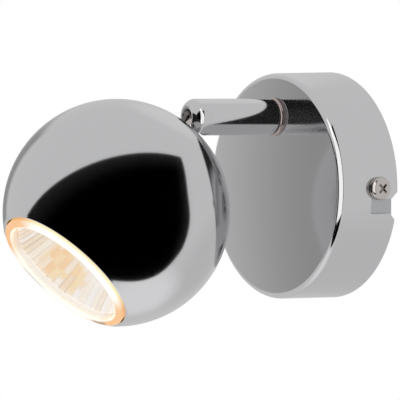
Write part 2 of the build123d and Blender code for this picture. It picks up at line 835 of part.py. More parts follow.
with BuildPart() as holder_cover:
    with BuildSketch(across_lamp(holder_rear)):
        RectangleRounded(holder_length, holder_width, holder_corner_radius)
        with Locations(*holder_screw_places):
            Circle(holder_screw_radius + turning_gap, mode=Mode.SUBTRACT)
        with Locations((lead_entry, 0), (-lead_entry, 0)):
            Circle(lead_radius + turning_gap, mode=Mode.SUBTRACT)
    extrude(amount=holder_cover_thickness)
save(holder_cover, "holder_cover")

with BuildPart() as holder_screws:
    screw_seat = holder_front - holder_screw_sink - holder_screw_head_height
    extrude(
        disc(across_lamp(screw_seat), holder_screw_head_radius, 0, *holder_screw_places),
        amount=holder_screw_head_height,
    )
    extrude(
        disc(across_lamp(screw_seat), holder_screw_radius, 0, *holder_screw_places),
        amount=holder_rear - hanger_thickness - holder_screw_tail - screw_seat,
    )
    with BuildSketch(across_lamp(screw_seat + holder_screw_head_height - clamp_slot_depth)):
        with Locations(*holder_screw_places):
            Rectangle(clamp_slot_width, 2 * holder_screw_head_radius)
    extrude(amount=clamp_slot_depth, mode=Mode.SUBTRACT)
save(holder_screws, "holder_screws")

with BuildPart() as holder_contacts:
    with BuildSketch(lamp_section):
        with BuildLine():
            FilletPolyline(
                (contact_outer, contact_floor),
                (contact_inner, contact_floor),
                (contact_inner, pin_end - running_gap),
                (contact_inner + contact_width, pin_end - running_gap),
                radius=2 * contact_thickness,
            )
            offset(amount=contact_thickness, side=Side.RIGHT)
        make_face()
    extrude(amount=contact_width / 2, both=True)
    mirror(about=Plane.YZ)
save(holder_contacts, "holder_contacts")

# ---------------------------------------------------------------- lamp
with BuildPart() as lamp_reflector:
    ring_stations = [
        neck_station + (glass_rear - neck_station) * ring / reflector_rings
        for ring in range(reflector_rings + 1)
    ]
    with BuildSketch(lamp_section) as bowl_profile:
        with BuildLine():
            bowl = Spline(
                *[(dish_radius(s) + reflector_wall, s) for s in ring_stations[:-1]],
                (lamp_radius - rim_rounding, lamp_front - rim_height),
            )
            Polyline(
                bowl @ 1,
                (lamp_radius, lamp_front - rim_height + rim_rounding),
                (lamp_radius, lamp_front),
                (glass_radius + fixed_gap, lamp_front),
                (glass_radius + fixed_gap, glass_rear),
                (0, glass_rear),
                (0, neck_end),
                (neck_radius, neck_end),
                bowl @ 0,
            )
        make_face()
        rim_front = bowl_profile.vertices().sort_by_distance((lamp_radius, lamp_front))[0]
        fillet(rim_front, rim_rounding)
    revolve(axis=lamp_axis)
    # the faceted dish: flat-sided rings on a parabola
    for station in ring_stations:
        with BuildSketch(across_lamp(station)):
            RegularPolygon(dish_radius(station), reflector_facets)
    loft(ruled=True, mode=Mode.SUBTRACT)
    extrude(
        disc(across_lamp(neck_end), neck_radius - reflector_wall),
        amount=neck_station - neck_end,
        mode=Mode.SUBTRACT,
    )
save(lamp_reflector, "lamp_reflector")

with BuildPart() as lamp_front_glass:
    extrude(disc(across_lamp(glass_rear), glass_radius), amount=glass_thickness)
    fillet(lamp_front_glass.edges().sort_by(lamp_axis)[-1], glass_thickness / 4)
save(lamp_front_glass, "lamp_front_glass")

with BuildPart() as lamp_base:
    revolve(
        outline(
            lamp_section,
            (0, lamp_base_rear),
            (lamp_foot_radius, lamp_base_rear),
            (lamp_foot_radius, collar_rear - lamp_shoulder_length),
            (lamp_base_radius, collar_rear),
            (lamp_base_radius, collar_rear + lamp_collar_length),
            (neck_radius + fixed_gap, collar_rear + lamp_collar_length),
            (neck_radius + fixed_gap, neck_end),
            (0, neck_end),
        ),
        axis=lamp_axis,
    )
    with BuildSketch(across_lamp(neck_end)):
        Rectangle(pinch_width + 2 * fixed_gap, pinch_thickness + 2 * fixed_gap)
    extrude(amount=-pinch_sink, mode=Mode.SUBTRACT)
save(lamp_base, "lamp_base")

with BuildPart() as lamp_pins:
    pin_places = [(pin_spacing / 2, 0), (-pin_spacing / 2, 0)]
    extrude(disc(across_lamp(lamp_base_rear), pin_radius, 0, *pin_places), amount=-pin_length)
    extrude(disc(across_lamp(pin_end), pin_head_radius, 0, *pin_places), amount=pin_head_length)
save(lamp_pins, "lamp_pins")

with BuildPart() as lamp_burner:
    burner_foot = pinch_end + pinch_length
    for inset, mode in ((0, Mode.ADD), (burner_wall, Mode.SUBTRACT)):
        with BuildSketch(lamp_section) as bulb:
            with BuildLine():
                Polyline(
                    (0, burner_foot + inset),
                    (burner_radius - inset, burner_foot + inset),
                    (burner_radius - inset, burner_foot + burner_length - inset),
                    (0, burner_foot + burner_length - inset),
                    close=True,
                )
            make_face()
            fillet(bulb.vertices().group_by(Axis.X)[-1], burner_dome_radius - inset)
        revolve(axis=lamp_axis, mode=mode)
    with BuildSketch(across_lamp(pinch_end)):
        Rectangle(pinch_width, pinch_thickness)
    extrude(amount=pinch_length + burner_wall)
save(lamp_burner, "lamp_burner")

# A close-wound coil between two stiff wires that stand on the pinch
with BuildPart() as lamp_filament:
    wire_foot = burner_foot + burner_wall
    coil_start = (2 * wire_foot + burner_length - 2 * burner_wall - filament_length) / 2
    coil_end = coil_start + filament_length
    extrude(disc(across_lamp(coil_start), filament_radius), amount=filament_length)
    wire_turn = 2 * filament_wire_radius
    for spread, turn_station, coil_face in (
        (filament_wire_spread, coil_start - wire_turn, coil_start),
        (-filament_wire_spread, coil_end + wire_turn, coil_end),
    ):
        with BuildLine(lamp_section):
            FilletPolyline(
                (spread, wire_foot),
                (spread, turn_station),
                (0, turn_station),
                (0, (coil_start + coil_end) / 2),
                radius=0.9 * wire_turn,
            )
        sweep(disc(across_lamp(wire_foot), filament_wire_radius, 0, (spread, 0)))
save(lamp_filament, "lamp_filament")

# ---------------------------------------------------------------- leads
# From the contacts through the stem; the leads are slack and end where the knuckle bends
with BuildPart() as lamp_leads:
    with BuildLine(lamp_section):
        FilletPolyline(
            (lead_entry, contact_floor),
            (lead_entry, holder_rear - lead_radius + fixed_gap),
            (lead_spread, shank_end + lead_radius),
            (lead_spread, -head_reach),
            radius=lead_bend_radius,
        )
    sweep(disc(across_lamp(contact_floor), lead_radius, 0, (lead_entry, 0)))
    mirror(about=Plane.YZ)
save(lamp_leads, "lamp_leads")

with BuildPart() as arm_leads:
    lead_start = nipple_rear - sleeve_head_thickness
    lead_end = pivot_station - stem_radius - loose_gap
    lead_places = [(lead_spread, 0), (-lead_spread, 0)]
    extrude(
        disc(facing_out(lead_start, arm_height), lead_radius, 0, *lead_places),
        amount=lead_end - lead_start,
    )
save(arm_leads, "arm_leads")

# From the outer poles of the terminal block up to the arm
with BuildPart() as canopy_leads:
    lead_foot = block_centre + lead_radius
    block_edge = block_centre + block_width / 2
    with BuildLine():
        Line((pole_pitch, -lead_height, lead_foot), (pole_pitch, -lead_height, block_edge))
        Spline(
            (pole_pitch, -lead_height, block_edge),
            (pole_pitch / 2, -lead_height - lead_rise, 0),
            (lead_spread, -lead_start + 2 * lead_bend_radius, arm_height),
            tangents=[(0, 0, 1), (0, -1, 0)],
        )
        Line(
            (lead_spread, -lead_start + 2 * lead_bend_radius, arm_height),
            (lead_spread, -lead_start + turning_gap, arm_height),
        )
    pole_mouth = Plane(origin=(pole_pitch, -lead_height, lead_foot), z_dir=(0, 0, 1))
    sweep(disc(pole_mouth, lead_radius))
    mirror(about=Plane.YZ)
save(canopy_leads, "canopy_leads")

# From the middle pole to a hook round the earth screw
with BuildPart() as earth_lead:
    hook_radius = earth_screw_radius + lead_radius + running_gap
    hook_station = bracket_thickness + earth_washer_thickness + lead_radius
    hook_start = (earth_place + earth_washer_radius, -hook_station, -hook_radius)
    with BuildLine():
        Line((0, -lead_height, lead_foot), (0, -lead_height, block_edge))
        Spline((0, -lead_height, block_edge), hook_start, tangents=[(0, 0, 1), (-1, 0, 0)])
        Line(hook_start, (earth_place, -hook_station, -hook_radius))
        ThreePointArc(
            (earth_place, -hook_station, -hook_radius),
            (earth_place - hook_radius, -hook_station, 0),
            (earth_place, -hook_station, hook_radius),
        )
    pole_mouth = Plane(origin=(0, -lead_height, lead_foot), z_dir=(0, 0, 1))
    sweep(disc(pole_mouth, lead_radius))
save(earth_lead, "earth_lead")

print(len(os.listdir("parts")), "pieces written")
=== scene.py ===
"""Dresses and lights a pivoting spotlight wall light.

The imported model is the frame. The pieces that show are rebuilt here as smooth meshes in the
same places, and the hidden ones keep their solids and get a finish. Lengths are in metres.
A station is the distance along the axis that a piece is turned about: out from the wall on
the plate and the arm, and from the middle of the ball towards the light on the head.
"""

import json
from math import acos, asin, cos, degrees, pi, radians, sin, sqrt, tan

import bmesh
import bpy
from bpy.props import FloatProperty, FloatVectorProperty, IntProperty, PointerProperty
from mathutils import Matrix, Vector

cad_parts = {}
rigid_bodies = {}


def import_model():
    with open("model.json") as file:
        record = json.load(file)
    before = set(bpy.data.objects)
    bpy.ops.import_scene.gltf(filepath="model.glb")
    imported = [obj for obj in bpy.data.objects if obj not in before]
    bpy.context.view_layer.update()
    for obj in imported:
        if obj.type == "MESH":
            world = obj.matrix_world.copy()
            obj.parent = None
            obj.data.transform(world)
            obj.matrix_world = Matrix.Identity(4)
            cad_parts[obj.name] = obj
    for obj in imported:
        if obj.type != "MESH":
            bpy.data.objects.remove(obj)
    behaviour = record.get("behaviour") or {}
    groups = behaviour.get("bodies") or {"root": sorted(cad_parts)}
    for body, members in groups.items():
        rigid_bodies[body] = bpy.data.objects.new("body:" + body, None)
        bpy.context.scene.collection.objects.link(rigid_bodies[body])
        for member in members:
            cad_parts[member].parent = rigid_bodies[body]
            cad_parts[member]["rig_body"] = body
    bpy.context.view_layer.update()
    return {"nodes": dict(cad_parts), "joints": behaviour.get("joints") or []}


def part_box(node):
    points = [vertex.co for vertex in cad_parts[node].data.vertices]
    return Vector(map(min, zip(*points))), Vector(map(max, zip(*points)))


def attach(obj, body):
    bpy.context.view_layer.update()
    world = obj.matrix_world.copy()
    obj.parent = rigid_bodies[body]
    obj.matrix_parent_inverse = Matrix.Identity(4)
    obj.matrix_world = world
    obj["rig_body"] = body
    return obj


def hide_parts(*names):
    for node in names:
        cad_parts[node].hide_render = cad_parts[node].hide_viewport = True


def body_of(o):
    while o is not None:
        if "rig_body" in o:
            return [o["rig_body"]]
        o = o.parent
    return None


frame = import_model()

bl_info = {
    "name": "Pivoting spotlight wall light",
    "version": (1, 0, 0),
    "blender": (4, 5, 0),
    "location": "View3D > Sidebar > Spotlight",
    "description": "Builds and lights a ball-shaped spotlight on a swivel arm",
    "category": "Add Mesh",
}

millimetre = 0.001
clearance = 0.03 * millimetre
tilt_joint = next(joint for joint in frame["joints"] if joint["name"] == "head_tilt")
pivot = Vector(tilt_joint["pos_m"])
plate_front = -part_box("wall_plate")[0].y
arm_front, arm_rear = (-corner.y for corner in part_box("arm_tube"))
screw_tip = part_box("side_screws")[1].x


# ------------------------------------------------------------------ settings
def length(name, description, default):
    """A length setting, given in millimetres."""
    return FloatProperty(
        name=name,
        description=description,
        default=default * millimetre,
        min=0.0,
        precision=5,
        unit="LENGTH",
    )


def angle(name, description, default):
    """An angle setting, given in degrees."""
    return FloatProperty(
        name=name, description=description, default=radians(default), unit="ROTATION"
    )


def share(name, description, default):
    """A plain number setting."""
    return FloatProperty(name=name, description=description, default=default, precision=4)


def colour(name, description, default):
    """A colour setting."""
    return FloatVectorProperty(
        name=name, description=description, default=default, size=3, min=0, max=1, subtype="COLOR"
    )


def spot(name, description, default):
    """A setting for a point, given in metres."""
    return FloatVectorProperty(
        name=name, description=description, default=default, size=3, precision=5, unit="LENGTH"
    )


class PlateSettings(bpy.types.PropertyGroup):
    """Sizes of the wall plate and its side screws."""

    radius: length("Rim radius", "Radius of the plate at the wall", 40.0)
    depth: length("Depth", "How far the plate stands out from the wall", plate_front / millimetre)
    wall: length("Sheet", "Thickness of the drawn sheet", 0.8)
    draft: angle("Draft", "Taper of the skirt", 1.1)
    edge_radius: length("Edge radius", "Rounding between the skirt and the face", 2.1)
    slot_width: length("Slot width", "Width of the bayonet slots", 5.2)
    slot_drop: length("Slot drop", "From a side screw to the middle of its slot's entry", 6.2)
    slot_flare: length("Slot flare", "Lead-in of a slot at the rim", 2.4)
    slot_corner: length("Slot corner", "Rounding of a slot's outer corner", 0.8)
    screw_station: length("Screw station", "From the wall to the side screws", 8.3)
    screw_radius: length("Screw head radius", "Radius of a side screw's head", 4.0)
    screw_height: length("Screw head height", "Height of a side screw's head", 2.7)
    screw_crown: length("Screw head crown", "Rounding of a side screw's head", 1.6)
    recess_span: length("Recess span", "Span of the cross recess", 4.4)
    recess_width: length("Recess width", "Width of the cross recess", 0.95)
    recess_depth: length("Recess depth", "Depth of the cross recess", 1.5)


class ArmSettings(bpy.types.PropertyGroup):
    """Sizes of the arm, its bush and the knuckle."""

    height: length("Height", "Height of the arm above the plate's middle", pivot.z / millimetre)
    radius: length("Arm radius", "Radius of the arm", 6.35)
    bore: length("Bore radius", "Radius of the bore at the rear end", 5.03)
    inner_bore: length("Inner radius", "Radius inside the middle of the arm", 4.35)
    nose_bore: length("Nose bore radius", "Radius of the bore for the stem", 3.0)
    nose_radius: length("Nose rounding", "Rounding of the front end", 3.3)
    nose_depth: length("Nose depth", "From the pivot back to the inner bore", 3.6)
    grip: length("Nipple grip", "Length of the bore for the nipple", 9.8)
    steepest: angle("Steepest tilt", "Tilt below the horizontal where the slot ends", 78.0)
    pin_radius: length("Pivot pin radius", "Radius of the two flush pivot pins", 1.1)
    bush_flange: length("Bush flange radius", "Radius of the swivel bush's flange", 6.75)
    bush_sleeve: length("Bush sleeve radius", "Radius of the bush inside the plate", 5.9)
    bush_bore: length("Bush bore radius", "Radius of the bush's bore", 5.05)
    bush_thickness: length("Bush flange thickness", "Thickness of the flange", 1.3)
    bush_groove: length("Bush groove", "Depth of the groove round the flange", 0.25)
    stem_radius: length("Stem radius", "Radius of the knuckle stem", 2.7)
    stem_bore: length("Stem bore radius", "Radius of the stem's bore", 1.6)
    flange_radius: length("Stem flange radius", "Radius of the flange on the shade", 4.2)
    flange_gap: length("Flange gap", "From the pivot to the flange", 7.3)
    neck_radius: length("Neck rounding", "Rounding between neck and flange", 0.5)
    shank_radius: length("Shank radius", "Radius of the stem inside the shade", 3.0)
    shank_end: length("Shank end", "From the pivot to the end of the shank", 14.69)


class HeadSettings(bpy.types.PropertyGroup):
    """Sizes of the shade and the lamp."""

    reach: length("Reach", "From the pivot to the middle of the ball", 46.6)
    tilt: angle("Tilt", "Tilt below the horizontal at rest", 43.6)
    ball_radius: length("Ball radius", "Radius of the shade", 38.48)
    shade_wall: length("Shade wall", "Thickness of the spun sheet", 0.7)
    mouth_radius: length("Mouth radius", "Radius of the shade's mouth, inside", 25.3)
    hole_radius: length("Hole radius", "Radius of the hole for the stem", 3.03)
    lamp_radius: length("Lamp radius", "Radius of the lamp's rim", 24.9)
    lamp_front: length("Lamp front", "Station of the front of the rim", 29.39)
    rim_height: length("Rim height", "Height of the lamp's rim", 3.2)
    rim_rounding: length("Rim rounding", "Rounding of the rim", 0.7)
    glass_radius: length("Glass radius", "Radius of the front glass", 22.0)
    glass_thickness: length("Glass thickness", "Thickness of the front glass", 2.0)
    glass_recess: length("Glass recess", "From the rim's front to the glass", 0.8)
    dish_wall: length("Dish wall", "Thickness of the reflector", 1.9)
    dish_focus: length("Dish focus", "Focal length of the parabola", 3.6)
    dish_depth: length("Dish depth", "From the glass to the neck", 27.0)
    neck_length: length("Neck length", "Length of the reflector's neck", 4.0)
    flutes: IntProperty(name="Flutes", description="Radial flutes of the dish", default=48, min=12)
    rings: IntProperty(name="Rings", description="Rings of facets in the dish", default=7, min=3)
    flute_depth: length("Flute depth", "Depth of the flutes", 0.35)
    burner_radius: length("Burner radius", "Radius of the burner", 4.6)
    burner_wall: length("Burner wall", "Thickness of the burner's glass", 0.8)
    burner_length: length("Burner length", "Length of the burner above its pinch", 17.0)
    burner_dome: length("Burner dome", "Rounding of the burner's ends", 3.2)
    burner_foot: length("Burner foot", "Station of the burner's lower end", 1.1)
    pinch_width: length("Pinch width", "Width of the pressed foot", 7.0)
    pinch_thickness: length("Pinch thickness", "Thickness of the pressed foot", 3.0)
    pinch_length: length("Pinch length", "Length of the pressed foot", 7.0)
    coil_radius: length("Coil radius", "Radius of the filament's coil", 0.65)
    coil_length: length("Coil length", "Length of the filament's coil", 8.0)
    coil_turns: IntProperty(name="Coil turns", description="Turns of the filament", default=15)
    wire_radius: length("Wire radius", "Radius of the filament's wire", 0.15)
    coil_middle: length("Coil middle", "Station of the middle of the coil", 9.6)
    post_spread: length("Post spread", "From the axis to a stiff wire", 1.6)
    post_sink: length("Post sink", "From the middle of the ball back to a stiff wire's foot", 3.5)


class FinishSettings(bpy.types.PropertyGroup):
    """Colours and gloss of the finishes."""

    chrome: colour("Chrome", "Colour of the chrome plating", (0.80, 0.80, 0.805))
    chrome_roughness: share("Chrome roughness", "Roughness of the chrome", 0.025)
    nickel: colour("Nickel", "Colour of the nickel plating", (0.74, 0.69, 0.665))
    zinc: colour("Zinc", "Colour of the zinc plating", (0.62, 0.63, 0.64))
    brass: colour("Brass", "Colour of the brass", (0.76, 0.58, 0.27))
    bush: colour("Bush", "Colour of the swivel bush", (0.66, 0.55, 0.53))
    terminal: colour("Terminal block", "Colour of the terminal block", (0.86, 0.86, 0.83))
    ceramic: colour("Ceramic", "Colour of the lampholder", (0.86, 0.84, 0.78))
    sleeve: colour("Sleeve", "Colour of the lead sleeve", (0.06, 0.06, 0.06))
    lead: colour("Lead", "Colour of the leads", (0.78, 0.78, 0.75))
    earth_green: colour("Earth green", "Green of the earth lead", (0.05, 0.30, 0.06))
    earth_yellow: colour("Earth yellow", "Yellow of the earth lead", (0.80, 0.62, 0.03))
    rim_glow: colour("Rim glow", "Glow of the lamp's rim", (0.80, 0.43, 0.18))
    dish_glow: colour("Dish glow", "Glow of the lamp's dish", (1.0, 0.90, 0.74))
    burner_glow: colour("Burner glow", "Glow of the burner", (1.0, 0.62, 0.24))
    glow_strength: share("Glow strength", "Strength of the lamp's glow", 1.0)


class StudioSettings(bpy.types.PropertyGroup):
    """The light tent, the lamps, the floor and the camera."""

    tent_radius: length("Tent radius", "Radius of the light tent", 105.0)
    tent_forward: length("Tent forward", "From the wall to the middle of the tent", 60.0)
    tent_grey: share("Tent grey", "Brightness of the tent's cloth", 0.60)
    tent_gap_glow: share("Gap glow", "Brightness just inside the dark opening", 0.02)
    floor_drop: length("Floor drop", "From the middle of the plate down to the floor", 420.0)
    floor_radius: length("Floor radius", "Radius of the floor", 1500.0)
    floor_colour: colour("Floor", "Colour of the floor", (0.90, 0.90, 0.89))
    lamp_power: share("Lamp power", "Power of the main lamp in watts", 9.0)
    edge_lamp_glow: share("Edge lamp", "Power of the edge lamp for each square metre", 3.46)
    edge_lamp_from: spot("Edge lamp from", "Its lower corner, away from the wall", (0.044, -0.0735, -0.030))
    edge_lamp_to: spot("Edge lamp to", "Its upper corner, near the wall", (0.086, -0.029, 0.088))
    camera_azimuth: angle("Camera azimuth", "Camera angle round the object", 56.459)
    camera_elevation: angle("Camera elevation", "Camera angle above the horizon", 2.147)
    camera_distance: length("Camera distance", "From the camera to the aim point", 987.46)
    camera_aim: spot("Camera aim", "The middle of the picture", (-0.02517, -0.03834, -0.00539))
    camera_lens: share("Lens", "Focal length in millimetres on a 36 mm wide sensor", 249.865)


# ------------------------------------------------------------------ shader maths
class Wire:
    """A socket of a node tree that takes part in Python sums."""

    def __init__(self, tree, socket):
        self.tree = tree
        self.socket = socket

    def maths(self, operation, *values):
        """The result of a Math node."""
        return self.tree.wire("ShaderNodeMath", 0, {"operation": operation}, dict(enumerate(values)))

    def __add__(self, other):
        return self.maths("ADD", self, other)

    def __radd__(self, other):
        return self.maths("ADD", other, self)

    def __sub__(self, other):
        return self.maths("SUBTRACT", self, other)

    def __rsub__(self, other):
        return self.maths("SUBTRACT", other, self)

    def __mul__(self, other):
        return self.maths("MULTIPLY", self, other)

    def __rmul__(self, other):
        return self.maths("MULTIPLY", other, self)

    def __truediv__(self, other):
        return self.maths("DIVIDE", self, other)

    def __neg__(self):
        return 0.0 - self

    def above(self, floor):
        return self.maths("MAXIMUM", self, floor)

    def below(self, ceiling):
        return self.maths("MINIMUM", self, ceiling)

    def size(self):
        """This without its sign."""
        return self.maths("ABSOLUTE", self)

    def root(self):
        return self.maths("SQRT", self)

    def sine(self):
        return self.maths("SINE", self)

    def whole(self):
        """The whole number at or below this."""
        return self.maths("FLOOR", self)

    def turn(self, other):
        """The angle of a slope that rises by this over the other."""
        return self.maths("ARCTAN2", self, other)

    def step(self, start, end):
        """0 before start, 1 after end, and smooth between them."""
        return self.tree.wire(
            "ShaderNodeMapRange",
            "Result",
            {"interpolation_type": "SMOOTHSTEP"},
            {"Value": self, "From Min": start, "From Max": end, "To Min": 0.0, "To Max": 1.0},
        )

    def fade(self, start, end):
        """1 before start, 0 after end, and smooth between them."""
        return 1 - self.step(start, end)

    def along(self, direction):
        """The part of a vector along a direction."""
        axis = Vector(direction).normalized()
        return self.tree.vector("DOT_PRODUCT", self, axis, output="Value")

    def parts(self):
        """The X, Y and Z of a vector."""
        node = self.tree.add("ShaderNodeSeparateXYZ", None, {0: self})
        return [Wire(self.tree, socket) for socket in node.outputs]

    def tint(self, shade, least):
        """A colour where this is 1, down to the least share of it where this is 0."""
        return self.tree.blend(self, [least * part for part in shade], shade)


class Tree:
    """The node tree of a material, a lamp or the world."""

    def __init__(self, owner):
        owner.use_nodes = True
        self.nodes = owner.node_tree.nodes
        self.links = owner.node_tree.links
        self.nodes.clear()

    def add(self, kind, settings=None, inputs=None):
        """A new node, with its settings made first and its sockets then set or linked."""
        node = self.nodes.new(kind)
        for name, value in (settings or {}).items():
            setattr(node, name, value)
        for name, value in (inputs or {}).items():
            self.feed(node.inputs[name], value)
        return node

    def feed(self, socket, value):
        """Links or sets one socket."""
        if isinstance(value, Wire):
            self.links.new(value.socket, socket)
        elif socket.type == "RGBA" and len(value) == 3:
            socket.default_value = (*value, 1.0)
        else:
            socket.default_value = value

    def wire(self, kind, output, settings=None, inputs=None):
        """One output of a new node."""
        return Wire(self, self.add(kind, settings, inputs).outputs[output])

    def vector(self, operation, *values, output=0):
        """The result of a Vector Math node."""
        return self.wire("ShaderNodeVectorMath", output, {"operation": operation}, dict(enumerate(values)))

    def end(self, kind, shader):
        """The tree's output, fed by its last shader."""
        self.add(kind, None, {0: shader})

    def place(self):
        """The point on the object, in metres."""
        return self.wire("ShaderNodeTexCoord", "Object")

    def from_point(self, centre):
        """The way to the point on the object from a centre."""
        return self.vector("SUBTRACT", self.place(), centre)

    def noise(self, scale, detail=3.0, roughness=0.5, stretch=None):
        """Noise of a scale in features per metre, from 0 to 1."""
        point = self.place()
        if stretch:
            point = self.vector("MULTIPLY", point, stretch)
        inputs = {"Vector": point, "Scale": scale, "Detail": detail, "Roughness": roughness}
        return self.wire("ShaderNodeTexNoise", "Fac", None, inputs)

    def chance(self, number):
        """The same chance value from 0 to 1 each time for a whole number."""
        return self.wire("ShaderNodeTexWhiteNoise", "Value", {"noise_dimensions": "1D"}, {"W": number})

    def blend(self, factor, first, second):
        """A blend of two colours."""
        return self.wire("ShaderNodeMix", 2, {"data_type": "RGBA"}, {0: factor, 6: first, 7: second})

    def bump(self, height, distance, strength=1.0):
        """A normal from a height."""
        inputs = {"Height": height, "Distance": distance, "Strength": strength}
        return self.wire("ShaderNodeBump", "Normal", None, inputs)

    def ray_depth(self):
        """How many surfaces the light has met on its way back to the camera."""
        return self.wire("ShaderNodeLightPath", "Ray Depth")


def surface(name, sockets, feeds):
    """A material with one Principled shader. feeds is a function that gives what varies."""
    material = bpy.data.materials.new(name)
    tree = Tree(material)
    shader = tree.wire("ShaderNodeBsdfPrincipled", 0, None, sockets | feeds(tree))
    tree.end("ShaderNodeOutputMaterial", shader)
    return material


# ------------------------------------------------------------------ finishes
def fine_steel(name, tint, roughness, grain, metallic=1.0):
    """A metal with a faint cloud in its gloss and colour and a fine grain."""

    def feeds(tree):
        cloud = tree.noise(90)
        fine = tree.noise(grain, 2)
        return {
            "Base Color": cloud.tint(tint, 0.95),
            "Roughness": roughness * (0.7 + 0.6 * cloud),
            "Normal": tree.bump(fine, 0.02 * millimetre, 0.25),
        }

    return surface(name, {"Metallic": metallic}, feeds)


def chrome_finish(finish):
    """Polished chrome plating with faint wiping marks."""

    def feeds(tree):
        haze = tree.noise(45)
        wiping = tree.noise(900, 2, 0.5, (1.0, 1.0, 0.12))
        return {
            "Base Color": haze.tint(finish.chrome, 0.985),
            "Roughness": finish.chrome_roughness * (0.6 + 0.5 * haze + 0.3 * wiping),
        }

    return surface("chrome", {"Metallic": 1.0}, feeds)


def plated_finish(name, tint, roughness):
    """Barrel-plated small metal parts, softly grained."""
    return fine_steel(name, tint, roughness, 4000)


def moulded_finish(name, tint, roughness):
    """Moulded plastic or rubber with a spark-eroded grain."""

    def feeds(tree):
        cloud = tree.noise(160)
        return {
            "Base Color": cloud.tint(tint, 0.93),
            "Roughness": roughness + 0.12 * cloud,
            "Normal": tree.bump(tree.noise(5200, 2), 0.04 * millimetre, 0.3),
        }

    return surface(name, {"IOR": 1.48}, feeds)


def ceramic_finish(name, tint, roughness):
    """Pressed steatite: pale, with small dark specks and a dusty grain."""

    def feeds(tree):
        specks = tree.noise(1400, 2).step(0.66, 0.72)
        cloud = tree.noise(120)
        return {
            "Base Color": tree.blend(0.35 * specks, cloud.tint(tint, 0.95), (0.45, 0.38, 0.30)),
            "Roughness": roughness + 0.15 * cloud,
            "Normal": tree.bump(tree.noise(3000), 0.06 * millimetre, 0.35),
        }

    return surface(name, {"IOR": 1.55}, feeds)


def lead_finish(name, tint, stripe=None):
    """The covering of a lead, in one colour or with a stripe along it."""

    def feeds(tree):
        across, _, up = tree.place().parts()
        shade = tree.noise(300).tint(tint, 0.92)
        if stripe:
            band = (across * 900 + up * 700).sine().step(0.1, 0.2)
            shade = tree.blend(band, shade, stripe)
        return {
            "Base Color": shade,
            "Roughness": 0.38 + 0.1 * tree.noise(500),
            "Normal": tree.bump(tree.noise(2600, 2), 0.05 * millimetre, 0.3),
        }

    return surface(name, {"IOR": 1.46}, feeds)


